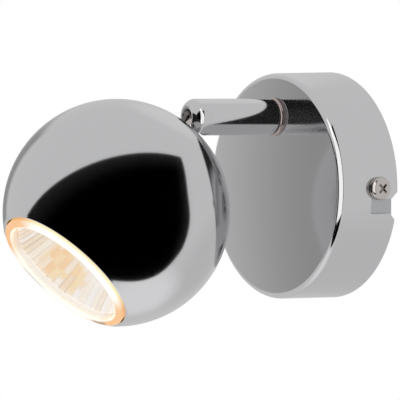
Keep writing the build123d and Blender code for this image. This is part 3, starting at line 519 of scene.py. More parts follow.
def glowing_glass(finish, head):
    """The lamp's coated glass with a painted glow: a warm rim and a pale dish with flutes and stepped
    facets.
    """
    white, cream, old_gold = (1.0, 0.98, 1.0), (1.0, 0.97, 0.90), (0.62, 0.40, 0.18)
    glass, front = head.glass_radius, head.lamp_front
    tenth = 0.1 * millimetre
    # places round the lamp, in degrees from its +X side towards its top
    burner_side, bright_side, foot_side = -156, 24, -104
    one_end, other_end = 125, -50
    dark_spot, dull_spot = -97, -172

    def feeds(tree):
        point = tree.from_point(ball_centre(head))
        station, height, across = (point.along(way) for way in (aim_of(head), up_of(head), (1, 0, 0)))
        spread = (height * height + across * across).root()

        def near(place, inner, outer):
            """1 round a place on the lamp, 0 further off than the outer angle."""
            level = (across * cos(radians(place)) + height * sin(radians(place))) / spread
            return level.step(cos(radians(outer)), cos(radians(inner)))

        # flutes of uneven painted brightness, each with painted shade in its valley
        flute = height.turn(across) * (head.flutes / (2 * pi))
        cell = flute.whole()
        tone, other = tree.chance(cell), tree.chance(cell + 57.0)
        dish = tree.blend(tone.step(0.25, 0.9), finish.dish_glow, white)
        dish = tree.blend(other.step(0.5, 0.8) * 0.85, dish, (0.90, 0.70, 0.50))
        valley = flute - cell
        edge = (valley * (1 - valley) * 4).fade(0.1, 0.7)
        dish = tree.blend(edge * other, dish, (0.50, 0.36, 0.24))
        # painted reflection of the burner: stepped peach facets where it shows in the dish
        ring = (spread * 620 + tone * 2.0).whole()
        patch = tree.chance(ring * 7.0 + cell)
        peach = tree.blend(patch.step(0.3, 0.9), (1.0, 0.56, 0.18), (1.0, 0.72, 0.32))
        warm = near(burner_side, 22, 32) * (spread + 16 * tenth * tone).fade(203 * tenth, 213 * tenth)
        dish = tree.blend(warm * (0.3 + 0.7 * patch.step(0.15, 0.3)), dish, peach)
        # a paler painted patch on the dish's lower side
        dish = tree.blend(near(foot_side, 20, 40) * 0.35, dish, white)
        # painted glare: the dish is painted brighter towards the burner
        painted_glare = (spread + 0.12 * height + 10 * tenth * tone).fade(156 * tenth, 166 * tenth)
        dish = tree.blend(painted_glare, dish, (1.0, 1.0, 0.97))
        # painted rim glow: peach at the ends, a white highlight on the bright side, darker lines and spots
        # opposite
        lined = (spread * 4200).sine().step(-0.1, 0.7)
        rim = tree.blend(near(burner_side, 38, 58), finish.rim_glow, (1.0, 0.95, 0.88))
        rim = tree.blend(near(burner_side, 45, 62) * lined * 0.75, rim, old_gold)
        rim = tree.blend(near(dark_spot, 4, 12) * 0.8, rim, (0.20, 0.12, 0.06))
        rim = tree.blend(near(dull_spot, 5, 16) * 0.5, rim, (0.22, 0.18, 0.13))
        # a paler painted band round the rim's inner edge, except near its two ends
        inner_rim = spread.fade(glass + 9 * tenth, glass + 14 * tenth)
        inner_rim = inner_rim * (1 - near(one_end, 35, 55)) * (1 - near(other_end, 30, 50))
        rim = tree.blend(inner_rim * 0.9, rim, (1.0, 0.94, 0.84))
        # the painted white highlight on the bright side, turning yellow back from the rim's front edge
        bright = near(bright_side, 38, 68)
        outer_line = station.fade(front - 11 * tenth, front - 6 * tenth)
        rim = tree.blend(bright, rim, tree.blend(outer_line, (1.0, 1.0, 0.95), (1.0, 0.86, 0.50)))
        in_dish = spread.fade(glass - 6 * tenth, glass - tenth)
        glow = tree.blend(in_dish, rim, dish)
        # the wall round the front glass in a paler painted glow, with a darker seam where the glass ends
        wall = spread.step(glass - 2 * tenth, glass + 2 * tenth)
        wall = wall * spread.fade(glass + 3 * tenth, glass + 6 * tenth)
        glow = tree.blend(wall * (1 - bright) * 0.8, glow, cream)
        seam = station.step(front - 11 * tenth, front - 9 * tenth)
        seam = seam * station.fade(front - 7 * tenth, front - 5 * tenth)
        glow = tree.blend(0.6 * seam * wall, glow, (0.90, 0.62, 0.34))
        # a dim brown painted glow on the outside of the dish, behind the rim
        rear = front - head.rim_height
        outside = station.fade(rear - 12 * tenth, rear) * (1 - in_dish)
        # the glow is painted into the emission and stands for the burner's light on the glass
        return {
            "Base Color": tree.blend(tree.noise(150), (0.10, 0.08, 0.06), (0.14, 0.11, 0.09)),
            "Roughness": 0.12 + 0.1 * tree.noise(400),
            "Emission Color": tree.blend(outside, glow, (0.30, 0.17, 0.08)),
        }

    return surface("lamp_glass_painted_glow", {"Emission Strength": finish.glow_strength, "IOR": 1.5}, feeds)


def clear_glass(name, tint, roughness, glow=None, strength=0.0):
    """Clear pressed glass, with a faint warmth where the lamp shines through it."""

    def feeds(tree):
        ripple = tree.noise(220, 2)
        made = {
            "Base Color": ripple.tint(tint, 0.98),
            "Normal": tree.bump(ripple, 0.08 * millimetre, 0.15),
        }
        if glow:
            made["Emission Color"] = ripple.tint(glow, 0.8)
        return made

    sockets = {"Transmission Weight": 1.0, "IOR": 1.45, "Roughness": roughness}
    return surface(name, sockets | {"Emission Strength": strength}, feeds)


# ------------------------------------------------------------------ shapes
def placing(origin, aim, side=(1, 0, 0)):
    """A matrix with Z along aim and X along side."""
    forward, across = Vector(aim).normalized(), Vector(side).normalized()
    up = forward.cross(across)
    facing = Matrix((across, up, forward)).transposed().to_4x4()
    return Matrix.Translation(Vector(origin)) @ facing


def arc(centre, radius, start, end, steps=12):
    """Points of an arc in an outline. Angles are in degrees from the radius direction."""
    turns = [radians(start + (end - start) * step / steps) for step in range(steps + 1)]
    return [(centre[0] + radius * cos(turn), centre[1] + radius * sin(turn)) for turn in turns]


def turned(outline, place, segments=256, closed=True):
    """A piece turned from an outline of (radius, station) points."""
    made = bmesh.new()
    turns = [2 * pi * step / segments for step in range(segments)]
    rings = []
    for radius, station in outline:
        points = [Vector((radius * cos(turn), radius * sin(turn), station)) for turn in turns]
        on_axis = radius < 0.0001 * millimetre
        rings.append([made.verts.new(place @ point) for point in (points[:1] if on_axis else points)])
    pairs = list(zip(rings, rings[1:]))
    if closed and len(rings[-1]) > 1 and len(rings[0]) > 1:
        pairs.append((rings[-1], rings[0]))
    for first, second in pairs:
        bridge(made, first, second, segments)
    bmesh.ops.recalc_face_normals(made, faces=made.faces)
    return made


def bridge(made, first, second, segments):
    """Faces between two rings, either of which may be a single point."""
    if len(first) == 1 and len(second) == 1:
        return
    for step in range(segments):
        after = (step + 1) % segments
        if len(first) == 1:
            made.faces.new((first[0], second[step], second[after]))
        elif len(second) == 1:
            made.faces.new((first[step], first[after], second[0]))
        else:
            made.faces.new((first[step], first[after], second[after], second[step]))


def prism(outline, low, high, place):
    """A prism with an outline in the XY plane of a place."""
    made = bmesh.new()
    bottom = [made.verts.new(place @ Vector((x, y, low))) for x, y in outline]
    top = [made.verts.new(place @ Vector((x, y, high))) for x, y in outline]
    made.faces.new(bottom)
    made.faces.new(list(reversed(top)))
    count = len(outline)
    for step in range(count):
        after = (step + 1) % count
        made.faces.new((bottom[step], top[step], top[after], bottom[after]))
    bmesh.ops.recalc_face_normals(made, faces=made.faces)
    return made


def rod(radius, low, high, place, segments=64):
    """A round rod along the Z axis of a place."""
    points = [(0, low), (radius, low), (radius, high), (0, high)]
    return turned(points, place, segments, closed=False)


def placed(name, data):
    """A new object of the scene from a mesh, curve, lamp or camera."""
    thing = bpy.data.objects.new(name, data)
    bpy.context.scene.collection.objects.link(thing)
    return thing


def as_object(made, name):
    """A mesh object from a bmesh, which is freed."""
    mesh = bpy.data.meshes.new(name)
    made.to_mesh(mesh)
    made.free()
    return placed(name, mesh)


def cut(thing, cutters, operation="DIFFERENCE"):
    """Cuts a piece with other meshes, or joins it to them or trims it by them."""
    for cutter in cutters:
        tool = as_object(cutter, "cutter")
        change = thing.modifiers.new("cut", "BOOLEAN")
        change.operation = operation
        change.solver = "EXACT"
        change.object = tool
        applied(thing)
        bpy.data.objects.remove(tool)
    return thing


def applied(thing):
    """Applies the modifiers of a piece."""
    graph = bpy.context.evaluated_depsgraph_get()
    made = bpy.data.meshes.new_from_object(thing.evaluated_get(graph))
    thing.modifiers.clear()
    old = thing.data
    thing.data = made
    bpy.data.meshes.remove(old)


def dressed(thing, node, finish, crease=32):
    """Smooths a piece, gives it its finish and lets it stand for a CAD node on the node's body."""
    thing.data.shade_smooth()
    thing.data.set_sharp_from_angle(angle=radians(crease))
    weight = thing.modifiers.new("weighted normals", "WEIGHTED_NORMAL")
    weight.keep_sharp = True
    weight.weight = 80
    applied(thing)
    thing.data.materials.clear()
    thing.data.materials.append(finish_named(finish))
    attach(thing, body_of(frame["nodes"][node])[0])
    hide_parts(node)


def aim_of(head):
    """The direction of the light."""
    return Vector((0, -cos(head.tilt), -sin(head.tilt)))


def up_of(head):
    """The upward direction across the lamp."""
    return aim_of(head).cross(Vector((1, 0, 0)))


def ball_centre(head):
    """The middle of the ball."""
    return pivot + aim_of(head) * head.reach


def finish_named(name):
    """A finish that has been made, by name."""
    if name not in bpy.data.materials:
        raise RuntimeError(f"the finish {name} hasn't been made yet")
    return bpy.data.materials[name]


# ------------------------------------------------------------------ operators
class MakeFinishes(bpy.types.Operator):
    """Makes the finishes and gives the hidden pieces theirs"""

    bl_idname = "spotlight.finishes"
    bl_label = "Finishes"

    def execute(self, context):
        finish = context.scene.spotlight_finish
        head = context.scene.spotlight_head
        chrome_finish(finish)
        plated_finish("nickel", finish.nickel, 0.16)
        plated_finish("stem_nickel", finish.nickel, 0.08)
        plated_finish("zinc", finish.zinc, 0.34)
        plated_finish("brass", finish.brass, 0.28)
        fine_steel("bush", finish.bush, 0.11, 3000, 0.9)
        moulded_finish("terminal", finish.terminal, 0.45)
        moulded_finish("sleeve", finish.sleeve, 0.6)
        ceramic_finish("ceramic", finish.ceramic, 0.5)
        lead_finish("lead", finish.lead)
        lead_finish("earth_lead", finish.earth_green, finish.earth_yellow)
        glowing_glass(finish, head)
        clear_glass("front_glass", (1.0, 0.99, 0.97), 0.02)
        clear_glass("burner_glass", (1.0, 0.97, 0.92), 0.03, finish.burner_glow, 0.35)
        fine_steel("tungsten", (0.55, 0.50, 0.46), 0.3, 6000)
        hidden = {
            "zinc": (
                "mounting_bracket", "terminal_fixing_screw", "earth_washer", "stop_pin",
                "stop_washer", "nipple", "disc_spring", "lock_nut", "seat_washer",
                "toothed_washer", "stem_nut", "holder_bracket", "holder_screws",
            ),
            "brass": ("terminal_inserts", "terminal_screws", "earth_screw", "holder_contacts"),
            "nickel": ("lamp_pins",),
            "terminal": ("terminal_housing",),
            "sleeve": ("lead_sleeve",),
            "ceramic": ("lampholder", "holder_cover", "lamp_base"),
            "lead": ("canopy_leads", "arm_leads", "lamp_leads"),
            "earth_lead": ("earth_lead",),
        }
        for name, nodes in hidden.items():
            for node in nodes:
                finishes = frame["nodes"][node].data.materials
                finishes.clear()
                finishes.append(finish_named(name))
        return {"FINISHED"}


class MakePlate(bpy.types.Operator):
    """Makes the drawn wall plate with its bayonet slots"""

    bl_idname = "spotlight.plate"
    bl_label = "Wall plate"

    def execute(self, context):
        plate = context.scene.spotlight_plate
        arm = context.scene.spotlight_arm
        place = placing((0, 0, 0), (0, -1, 0))
        lean = plate.draft
        top = plate.depth - plate.edge_radius
        middle = plate.radius - (plate.edge_radius + top * sin(lean)) / cos(lean)
        flat = middle - 0.6 * millimetre
        rim = 0.18 * millimetre

        def skirt(station, inset=0.0):
            return (plate.radius - station * tan(lean) - inset / cos(lean), station)

        rows = 5
        outline = [skirt(rim + row * (top - 0.3 * millimetre - rim) / rows) for row in range(rows + 1)]
        outline += arc((middle, top), plate.edge_radius, degrees(lean), 90, 24)
        outline += [(flat, plate.depth), (middle / 2, plate.depth), (0, plate.depth)]
        inside = plate.depth - plate.wall
        outline += [(0, inside), (flat, inside)]
        outline += arc((middle, top), plate.edge_radius - plate.wall, 90, degrees(lean), 12)
        outline += [skirt(top / 2, plate.wall), skirt(rim, plate.wall)]
        outline += [(skirt(0, plate.wall)[0] + rim, 0), (plate.radius - rim, 0)]
        shell = as_object(turned(outline, place, 360, closed=False), "wall_plate_shell")
        close_rim(shell)
        half, corner = plate.slot_width / 2, plate.slot_corner
        far = plate.screw_station + half
        near = plate.screw_station - half
        low, high = -plate.slot_drop - half, -plate.slot_drop + half
        past, inward = 2 * millimetre, 3.4 * millimetre
        flare = plate.slot_flare
        slot = [(low - flare - past, -past), (low, flare)]
        slot += arc((low + corner, far - corner), corner, 180, 90, 8)
        slot += arc((0, plate.screw_station), half, 90, -90, 24)
        slot += [(high, near), (high, flare), (high + flare + past, -past)]
        cutters = []
        for side in (1, -1):
            # X runs up on the right and down on the left, and Y runs out from the wall
            facing = placing((0, 0, 0), (side, 0, 0), (0, 0, side))
            cutters.append(prism(slot, plate.radius - inward, plate.radius + past, facing))
        hole = placing((0, -plate.depth, arm.height), (0, -1, 0))
        cutters.append(rod(arm.bush_sleeve + clearance, -past, past, hole, 96))
        cut(shell, cutters)
        dressed(shell, "wall_plate", "chrome")
        return {"FINISHED"}


def close_rim(thing):
    """Joins the two ends of a turned outline at the wall."""
    made = bmesh.new()
    made.from_mesh(thing.data)
    open_edges = [edge for edge in made.edges if edge.is_boundary]
    bmesh.ops.bridge_loops(made, edges=open_edges)
    bmesh.ops.recalc_face_normals(made, faces=made.faces)
    made.to_mesh(thing.data)
    made.free()


class MakeScrews(bpy.types.Operator):
    """Makes the two side screws with their crowned heads and cross recesses"""

    bl_idname = "spotlight.screws"
    bl_label = "Side screws"

    def execute(self, context):
        plate = context.scene.spotlight_plate
        seat = screw_tip - plate.screw_height
        shank, core, pitch = 1.95 * millimetre, 1.6 * millimetre, 0.7 * millimetre
        plain = 1.6 * millimetre
        chamfer, crown = 0.2 * millimetre, plate.screw_crown
        from_middle = 32.85 * millimetre
        end = from_middle - seat
        outline = [(0, end), (core, end)]
        station = end + pitch / 2
        while station < -plain:
            outline += [(shank, station), (core, station + pitch / 2)]
            station += pitch
        outline += [(shank, station), (shank, 0), (plate.screw_radius - chamfer, 0)]
        outline += [(plate.screw_radius, chamfer)]
        outline += arc((plate.screw_radius - crown, plate.screw_height - crown), crown, 0, 84, 12)
        outline += [(0, plate.screw_height)]
        screws = []
        for side in (1, -1):
            place = placing((side * seat, -plate.screw_station, 0), (side, 0, 0), (0, 0, 1))
            screw = as_object(turned(outline, place, 96, closed=False), "side_screw")
            spun = [place @ Matrix.Rotation(radians(turn), 4, "Z") for turn in (45, 135)]
            screws.append(cut(screw, [cross_arm(plate, turned_to) for turned_to in spun]))
        dressed(joined(screws, "side_screw_pair"), "side_screws", "nickel")
        return {"FINISHED"}


def cross_arm(plate, place):
    """One arm of a cross recess, narrower towards its floor."""
    made = bmesh.new()
    levels = []
    top = plate.screw_height + 0.3 * millimetre
    floor = plate.screw_height - plate.recess_depth
    for height, shrink in ((top, 1.0), (floor, 0.55)):
        across = plate.recess_span / 2 * shrink
        thick = plate.recess_width / 2 * (0.5 + 0.5 * shrink)
        corners = ((-across, -thick), (across, -thick), (across, thick), (-across, thick))
        levels.append([made.verts.new(place @ Vector((x, y, height))) for x, y in corners])
    made.faces.new(levels[0])
    made.faces.new(reversed(levels[1]))
    for step in range(4):
        after = (step + 1) % 4
        made.faces.new((levels[0][step], levels[1][step], levels[1][after], levels[0][after]))
    bmesh.ops.recalc_face_normals(made, faces=made.faces)
    return made


def joined(pieces, name):
    """One piece with the meshes of several."""
    first, *others = pieces
    made = bmesh.new()
    for piece in pieces:
        made.from_mesh(piece.data)
    made.to_mesh(first.data)
    made.free()
    for piece in others:
        bpy.data.objects.remove(piece)
    first.name = name
    return first


class MakeArm(bpy.types.Operator):
    """Makes the arm with its slotted nose, the swivel bush and the pivot pins"""

    bl_idname = "spotlight.arm"
    bl_label = "Arm"

    def execute(self, context):
        arm = context.scene.spotlight_arm
        place = placing((0, 0, arm.height), (0, -1, 0))
        tube = as_object(turned(self.outline(arm), place, 192), "arm_tube_shell")
        # X runs out from the wall and Y runs down
        facing = placing(pivot, (1, 0, 0), (0, -1, 0))
        half, steep = arm.nose_bore, arm.steepest
        ahead, deep = 12.7 * millimetre, 13.05 * millimetre
        back = (-half * sin(steep), half * cos(steep))
        foot = back[0] + (deep - back[1]) / sin(steep) * cos(steep)
        slot = [(0, 0), back, (foot, deep), (ahead, deep), (ahead, 0)]
        bore = rod(arm.pin_radius + clearance, -ahead, ahead, facing)
        cut(tube, [prism(slot, -half, half, facing), bore])
        dressed(tube, "arm_tube", "chrome")
        # each pin is trimmed flush with the arm
        pins = []
        inner_end = 1.75 * millimetre
        for side in (1, -1):
            outer = placing(pivot, (side, 0, 0), (0, 0, 1))
            pin = rod(arm.pin_radius, inner_end, ahead, outer)
            trim = rod(arm.radius - 0.01 * millimetre, arm_rear, arm_front, place, 192)
            pins.append(cut(as_object(pin, "pin"), [trim], "INTERSECT"))
        dressed(joined(pins, "pivot_pin_pair"), "pivot_pins", "chrome")
        self.bush(arm, place)
        return {"FINISHED"}

    def outline(self, arm):
        """The arm's section, with a rounded nose and a stepped bore."""
        rear, front = arm_rear, arm_front
        edge, nose = 0.3 * millimetre, arm.nose_radius
        rows = 14
        straight = front - nose - rear - edge
        step_at = -pivot.y - arm.nose_depth
        outline = arc((arm.radius - edge, rear + edge), edge, -90, 0, 6)
        outline += [(arm.radius, rear + edge + straight * row / rows) for row in range(1, rows)]
        outline += arc((arm.radius - nose, front - nose), nose, 0, 90, 28)
        outline += [(arm.nose_bore, front), (arm.nose_bore, step_at)]
        outline += [(arm.inner_bore, step_at), (arm.inner_bore, rear + arm.grip)]
        return outline + [(arm.bore, rear + arm.grip), (arm.bore, rear)]

    def bush(self, arm, place):
        """The bush between the plate and the arm, with a fine groove round its flange."""
        front = plate_front + arm.bush_thickness
        middle = (plate_front + front) / 2
        inner_end = plate_front - 1.25 * millimetre
        bore, sleeve, flange, groove = arm.bush_bore, arm.bush_sleeve, arm.bush_flange, arm.bush_groove
        chamfer, edge = 0.15 * millimetre, 0.43 * millimetre
        outline = [(bore, inner_end), (sleeve, inner_end), (sleeve, plate_front)]
        outline += [(flange - chamfer, plate_front), (flange, plate_front + chamfer)]
        outline += [(flange, middle - groove), (flange - groove, middle), (flange, middle + groove)]
        outline += arc((flange - edge, front - edge), edge, 0, 90, 10)
        outline += [(bore, front)]
        ring = as_object(turned(outline, place, 192), "swivel_bush_ring")
        dressed(ring, "swivel_bush", "bush")


class MakeStem(bpy.types.Operator):
    """Makes the hollow knuckle stem"""

    bl_idname = "spotlight.stem"
    bl_label = "Knuckle stem"

    def execute(self, context):
        arm = context.scene.spotlight_arm
        head = context.scene.spotlight_head
        place = placing(pivot, aim_of(head))
        radius, bore = arm.stem_radius, arm.stem_bore
        start = -degrees(acos(bore / radius))
        outline = arc((0, 0), radius, start, 0, 20)
        neck, gap = arm.neck_radius, arm.flange_gap
        outline += [(radius, (gap - neck) / 2)]
        outline += arc((radius + neck, gap - neck), neck, 180, 90, 10)
        edge = 0.25 * millimetre
        outline += arc((arm.flange_radius - edge, gap + edge), edge, -90, 0, 8)
        for spread in (arm.flange_radius, arm.shank_radius):
            outline.append((spread, head.reach - sqrt(head.ball_radius**2 - spread**2)))
        outline += [(arm.shank_radius, arm.shank_end), (bore, arm.shank_end)]
        stem = as_object(turned(outline, place, 128), "knuckle_stem_body")
        dressed(stem, "knuckle_stem", "stem_nickel")
        return {"FINISHED"}


class MakeShade(bpy.types.Operator):
    """Makes the spun ball with its rolled mouth"""

    bl_idname = "spotlight.shade"
    bl_label = "Ball shade"

    def execute(self, context):
        head = context.scene.spotlight_head
        place = placing(ball_centre(head), aim_of(head))
        outer, inner = head.ball_radius, head.ball_radius - head.shade_wall
        mouth = sqrt(inner**2 - head.mouth_radius**2)
        lip = head.shade_wall / 4
        hole = head.hole_radius
        first = -degrees(acos(hole / outer))
        last = degrees(asin((mouth - lip) / outer))
        outline = arc((0, 0), outer, first, last, 150)
        spread = sqrt(outer**2 - (mouth - lip) ** 2)
        outline += arc((spread - 1.35 * lip, mouth - lip), lip, 35, 90, 5)[1:]
        outline += arc((head.mouth_radius + lip, mouth - lip), lip, 90, 180, 5)
        inner_last = degrees(asin((mouth - 2 * lip) / inner))
        inner_first = -degrees(acos(hole / inner))
        outline += arc((0, 0), inner, inner_last, inner_first, 110)
        ball = as_object(turned(outline, place, 288), "ball_shade_shell")
        dressed(ball, "ball_shade", "chrome", crease=40)
        return {"FINISHED"}


class MakeLamp(bpy.types.Operator):
    """Makes the lamp: its fluted dish and rim, front glass, burner and filament"""

    bl_idname = "spotlight.lamp"
    bl_label = "Lamp"

    def execute(self, context):
        head = context.scene.spotlight_head
        place = placing(ball_centre(head), aim_of(head))
        self.reflector(head, place)
        self.front(head, place)
        self.burner(head, place)
        self.filament(head, place)
        return {"FINISHED"}

    def glass_rear(self, head):
        """The station of the front glass's rear face."""
        return head.lamp_front - head.glass_recess - head.glass_thickness

    def dish_spread(self, head, station):
        """The radius of the dish, a parabola that ends inside the ledge for the glass."""
        edge = head.glass_radius - 0.9 * millimetre
        vertex = self.glass_rear(head) - edge**2 / (4 * head.dish_focus)
        return 2 * sqrt(head.dish_focus * (station - vertex))

    def reflector(self, head, place):
        """The dish is a net of shallow pillows, more of them round than along."""
        glass_rear, front = self.glass_rear(head), head.lamp_front
        neck = glass_rear - head.dish_depth
        fine_round, fine_along = 6, 5
        segments = head.flutes * fine_round
        rows = head.rings * fine_along
        crests = [abs(sin(pi * step / fine_round)) for step in range(segments)]
        made = bmesh.new()
        rings = []

        def ring(radius, station, depth=0.0):
            """A ring of points, drawn in by a depth at the crests of the flutes."""
            points = []
            for step, crest in enumerate(crests):
                turn = 2 * pi * step / segments
                spread = radius - depth * crest
                points.append(Vector((spread * cos(turn), spread * sin(turn), station)))
            rings.append([made.verts.new(place @ point) for point in points])

        floor_bore = 4.2 * millimetre
        ring(floor_bore, neck - head.neck_length)
        ring(floor_bore, neck)
        for row in range(rows + 1):
            forward = row / rows
            station = neck + forward**1.35 * head.dish_depth
            pillow = 0.65 + 0.35 * abs(sin(pi * row / fine_along))
            depth = head.flute_depth * min(1.0, 0.3 + forward) * pillow
            ring(self.dish_spread(head, station), station, depth if row < rows else 0.0)
        seat, chamfer = head.glass_radius + clearance, 0.15 * millimetre
        ring(seat, glass_rear)
        ring(seat, front - chamfer)
        ring(seat + chamfer, front)
        rounding, back = head.rim_rounding, front - head.rim_height
        edge = head.lamp_radius - rounding
        for radius, station in arc((edge, front - rounding), rounding, 90, 0, 8):
            ring(radius, station)
        for radius, station in arc((edge, back + rounding), rounding, 0, -90, 6):
            ring(radius, station)
        outer_rows = 24
        outer_front = glass_rear - 1.4 * millimetre
        for row in range(outer_rows + 1):
            station = outer_front - row / outer_rows * (outer_front - neck)
            ring(self.dish_spread(head, station) + head.dish_wall, station)
        ring(self.dish_spread(head, neck) + head.dish_wall, neck - head.neck_length)
        for first, second in zip(rings, rings[1:] + rings[:1]):
            bridge(made, first, second, segments)
        bmesh.ops.recalc_face_normals(made, faces=made.faces)
        dish = as_object(made, "lamp_dish")
        dressed(dish, "lamp_reflector", "lamp_glass_painted_glow", crease=24)

    def front(self, head, place):
        """The pane, with a rounded front edge."""
        rear, radius = self.glass_rear(head), head.glass_radius
        face = rear + head.glass_thickness
        edge, chamfer = head.glass_thickness / 4, 0.2 * millimetre
        outline = [(0, rear), (radius / 2, rear), (radius - chamfer, rear), (radius, rear + chamfer)]
        outline += arc((radius - edge, face - edge), edge, 0, 90, 8)
        outline += [(radius / 2, face), (0, face)]
        pane = as_object(turned(outline, place, 144, closed=False), "lamp_front_pane")
        dressed(pane, "lamp_front_glass", "front_glass")

    def burner(self, head, place):
        """A hollow capsule with domed ends on a pressed foot."""
        foot, top = head.burner_foot, head.burner_foot + head.burner_length
        dome, wall = head.burner_dome, head.burner_wall

        def capsule(inset):
            flat = head.burner_radius - dome
            outline = [(0, foot + inset)] + arc((flat, foot + dome), dome - inset, -90, 0, 12)
            outline += arc((flat, top - dome), dome - inset, 0, 90, 12) + [(0, top - inset)]
            return turned(outline, place, 96, closed=False)

        shell = cut(as_object(capsule(0.0), "lamp_burner_shell"), [capsule(wall)])
        corner = 0.6 * millimetre
        wide, thick = head.pinch_width / 2 - corner, head.pinch_thickness / 2 - corner
        pinch = []
        for start, across, up in ((0, 1, 1), (90, -1, 1), (180, -1, -1), (270, 1, -1)):
            pinch += arc((across * wide, up * thick), corner, start, start + 90, 6)
        cut(shell, [prism(pinch, foot - head.pinch_length, foot + wall / 2, place)], "UNION")
        dressed(shell, "lamp_burner", "burner_glass")

    def filament(self, head, place):
        """A coil along the lamp axis, carried by two stiff wires."""
        start = head.coil_middle - head.coil_length / 2
        end = start + head.coil_length
        turns, steps = head.coil_turns, 14
        post, foot = head.post_spread, -head.post_sink
        path = [(-post, 0, foot), (-post, 0, start - 0.4 * millimetre)]
        for step in range(turns * steps + 1):
            turn = 2 * pi * step / steps + pi
            station = start + head.coil_length * step / (turns * steps)
            path.append((head.coil_radius * cos(turn), head.coil_radius * sin(turn), station))
        path += [(post, 0, end - 0.2 * millimetre), (post, 0, foot)]
        curve = bpy.data.curves.new("filament", "CURVE")
        curve.dimensions = "3D"
        curve.bevel_depth = head.wire_radius
        curve.bevel_resolution = 3
        curve.use_fill_caps = True
        spline = curve.splines.new("POLY")
        spline.points.add(len(path) - 1)
        for point, along in zip(spline.points, path):
            point.co = (*(place @ Vector(along)), 1.0)
        wire = placed("filament", curve)
        graph = bpy.context.evaluated_depsgraph_get()
        mesh = bpy.data.meshes.new_from_object(wire.evaluated_get(graph))
        bpy.data.objects.remove(wire)
        dressed(placed("lamp_filament_coil", mesh), "lamp_filament", "tungsten")


class MakeStage(bpy.types.Operator):
    """Makes the light tent, the lamps, the floor, the world and the camera"""

    bl_idname = "spotlight.stage"
    bl_label = "Stage"

    def execute(self, context):
        studio = context.scene.spotlight_studio
        self.tent(studio)
        self.edge_lamp(studio)
        self.floor(studio)
        self.lamps(studio)
        self.world(context)
        self.camera(context, studio)
        context.scene.view_settings.view_transform = "Standard"
        return {"FINISHED"}

    def tent(self, studio):
        """A cloth ball round the object that only reflections see, with a dark opening."""
        centre, radius = Vector((0, -studio.tent_forward, 0)), studio.tent_radius
        outline = [(0, -radius)] + arc((0, 0), radius, -90, 90, 64)[1:-1] + [(0, radius)]
        ball = turned(outline, placing(centre, (0, 0, 1)), 128, closed=False)
        material = bpy.data.materials.new("tent_cloth")
        tree = Tree(material)
        shine = self.cloth(tree.vector("NORMALIZE", tree.from_point(centre)), studio)
        grey = tree.wire("ShaderNodeCombineColor", 0, None, {0: shine, 1: shine, 2: shine * 1.003})
        glow = tree.wire("ShaderNodeEmission", 0, None, {"Color": grey, "Strength": 1.0})
        tree.end("ShaderNodeOutputMaterial", glow)
        material.cycles.emission_sampling = "NONE"
        thing = staged(ball, "light_tent", material)
        reflections_only(thing)
        thing.visible_shadow = False

    def cloth(self, toward, studio):
        """How bright the tent is in each direction from its middle. Azimuths are in degrees."""
        across, out, height = toward.parts()
        azimuth = across.turn(-out) * degrees(1)

        def lobe(side, elevation, outer, inner):
            """1 round a direction, 0 further off than the outer angle."""
            turn, rise = radians(side), radians(elevation)
            middle = (sin(turn) * cos(rise), -cos(turn) * cos(rise), sin(rise))
            return toward.along(middle).step(cos(radians(outer)), cos(radians(inner)))

        # the dark opening is bounded by a sloping roof, a bent right side and a curved foot
        roof_slope, roof_level = (-0.6844, 0.0036, 0.7291), 0.1055
        right_side, bend_from, foot_middle, foot_level = 111.7, 0.1, 66, -0.807
        roof = roof_level - toward.along(roof_slope)
        raised, sunk = (height - bend_from).above(0.0), (-height - bend_from).above(0.0)
        right = right_side + 36 * raised * raised - 30 * sunk * sunk - azimuth
        turned_in = azimuth - foot_middle
        past = turned_in.above(0.0)
        foot = foot_level + 0.000076 * turned_in * turned_in + 0.00000006 * past * past * past * past
        dark = roof.step(-0.004, 0.004) * right.step(-0.4, 0.4) * (height - foot).step(-0.006, 0.006)
        glow = roof.fade(0.0, 0.30) * 0.55 + right.fade(0.0, 14.0) * 0.45
        # the cloth is duller where the plate's face looks and in one more field, and brighter in two
        dull = azimuth.step(-99.0, -60.0) * azimuth.fade(-56.0, -46.0) * height.size().fade(0.42, 0.6)
        cloth = studio.tent_grey * (1 - 0.5 * dull) * (1 - 0.10 * lobe(160.6, -40.8, 42, 8))
        cloth = cloth + 0.07 * lobe(-145, 54, 26, 6) + 0.17 * lobe(66, -72, 34, 8)
        first = cloth * (1 - dark) + dark * glow * studio.tent_gap_glow
        # what mirrors show of each other is mostly the dark room, with a few pale walls
        depth = toward.tree.ray_depth()
        again = depth.step(1.4, 1.6)
        walls = (-out).step(0.78, 0.92)
        walls = walls.above((-across).step(0.55, 0.7)).above((-height).step(0.5, 0.66))
        walls = walls.above(out.step(0.0, 0.15))
        second = (walls * 0.42 + 0.012).above(0.30 * depth.step(2.4, 2.6))
        return first * (1 - again) + second * again

    def edge_lamp(self, studio):
        """A soft box beside the ball, seen in reflections, for the plate's rounded edge."""
        low, high = Vector(studio.edge_lamp_from), Vector(studio.edge_lamp_to)
        run = Vector((high.x - low.x, high.y - low.y, 0))
        lamp = bpy.data.lights.new("edge_lamp", "AREA")
        lamp.shape = "RECTANGLE"
        lamp.size, lamp.size_y = run.length, high.z - low.z
        lamp.energy = studio.edge_lamp_glow * lamp.size * lamp.size_y
        lamp.color = (1, 0.985, 0.98)
        lamp.cycles.use_multiple_importance_sampling = True
        tree = Tree(lamp)
        across, _, height = tree.wire("ShaderNodeNewGeometry", "Position").parts()
        # its upper corner near the wall is cut off
        cut_slope, softness = 1.05, 0.0002
        inside = (height + (across - low.x) * cut_slope).fade(high.z - softness, high.z + softness)
        # a lamp's node counts one surface more, and mirrors don't show it to each other
        first = tree.ray_depth().fade(2.4, 2.6)
        glow = tree.wire("ShaderNodeEmission", 0, None, {"Color": (1, 1, 1), "Strength": first * inside})
        tree.end("ShaderNodeOutputLight", glow)
        thing = placed("edge_lamp", lamp)
        thing.location = (low + high) / 2
        thing.rotation_euler = Vector((-run.y, run.x, 0)).to_track_quat("-Z", "Y").to_euler()
        reflections_only(thing)

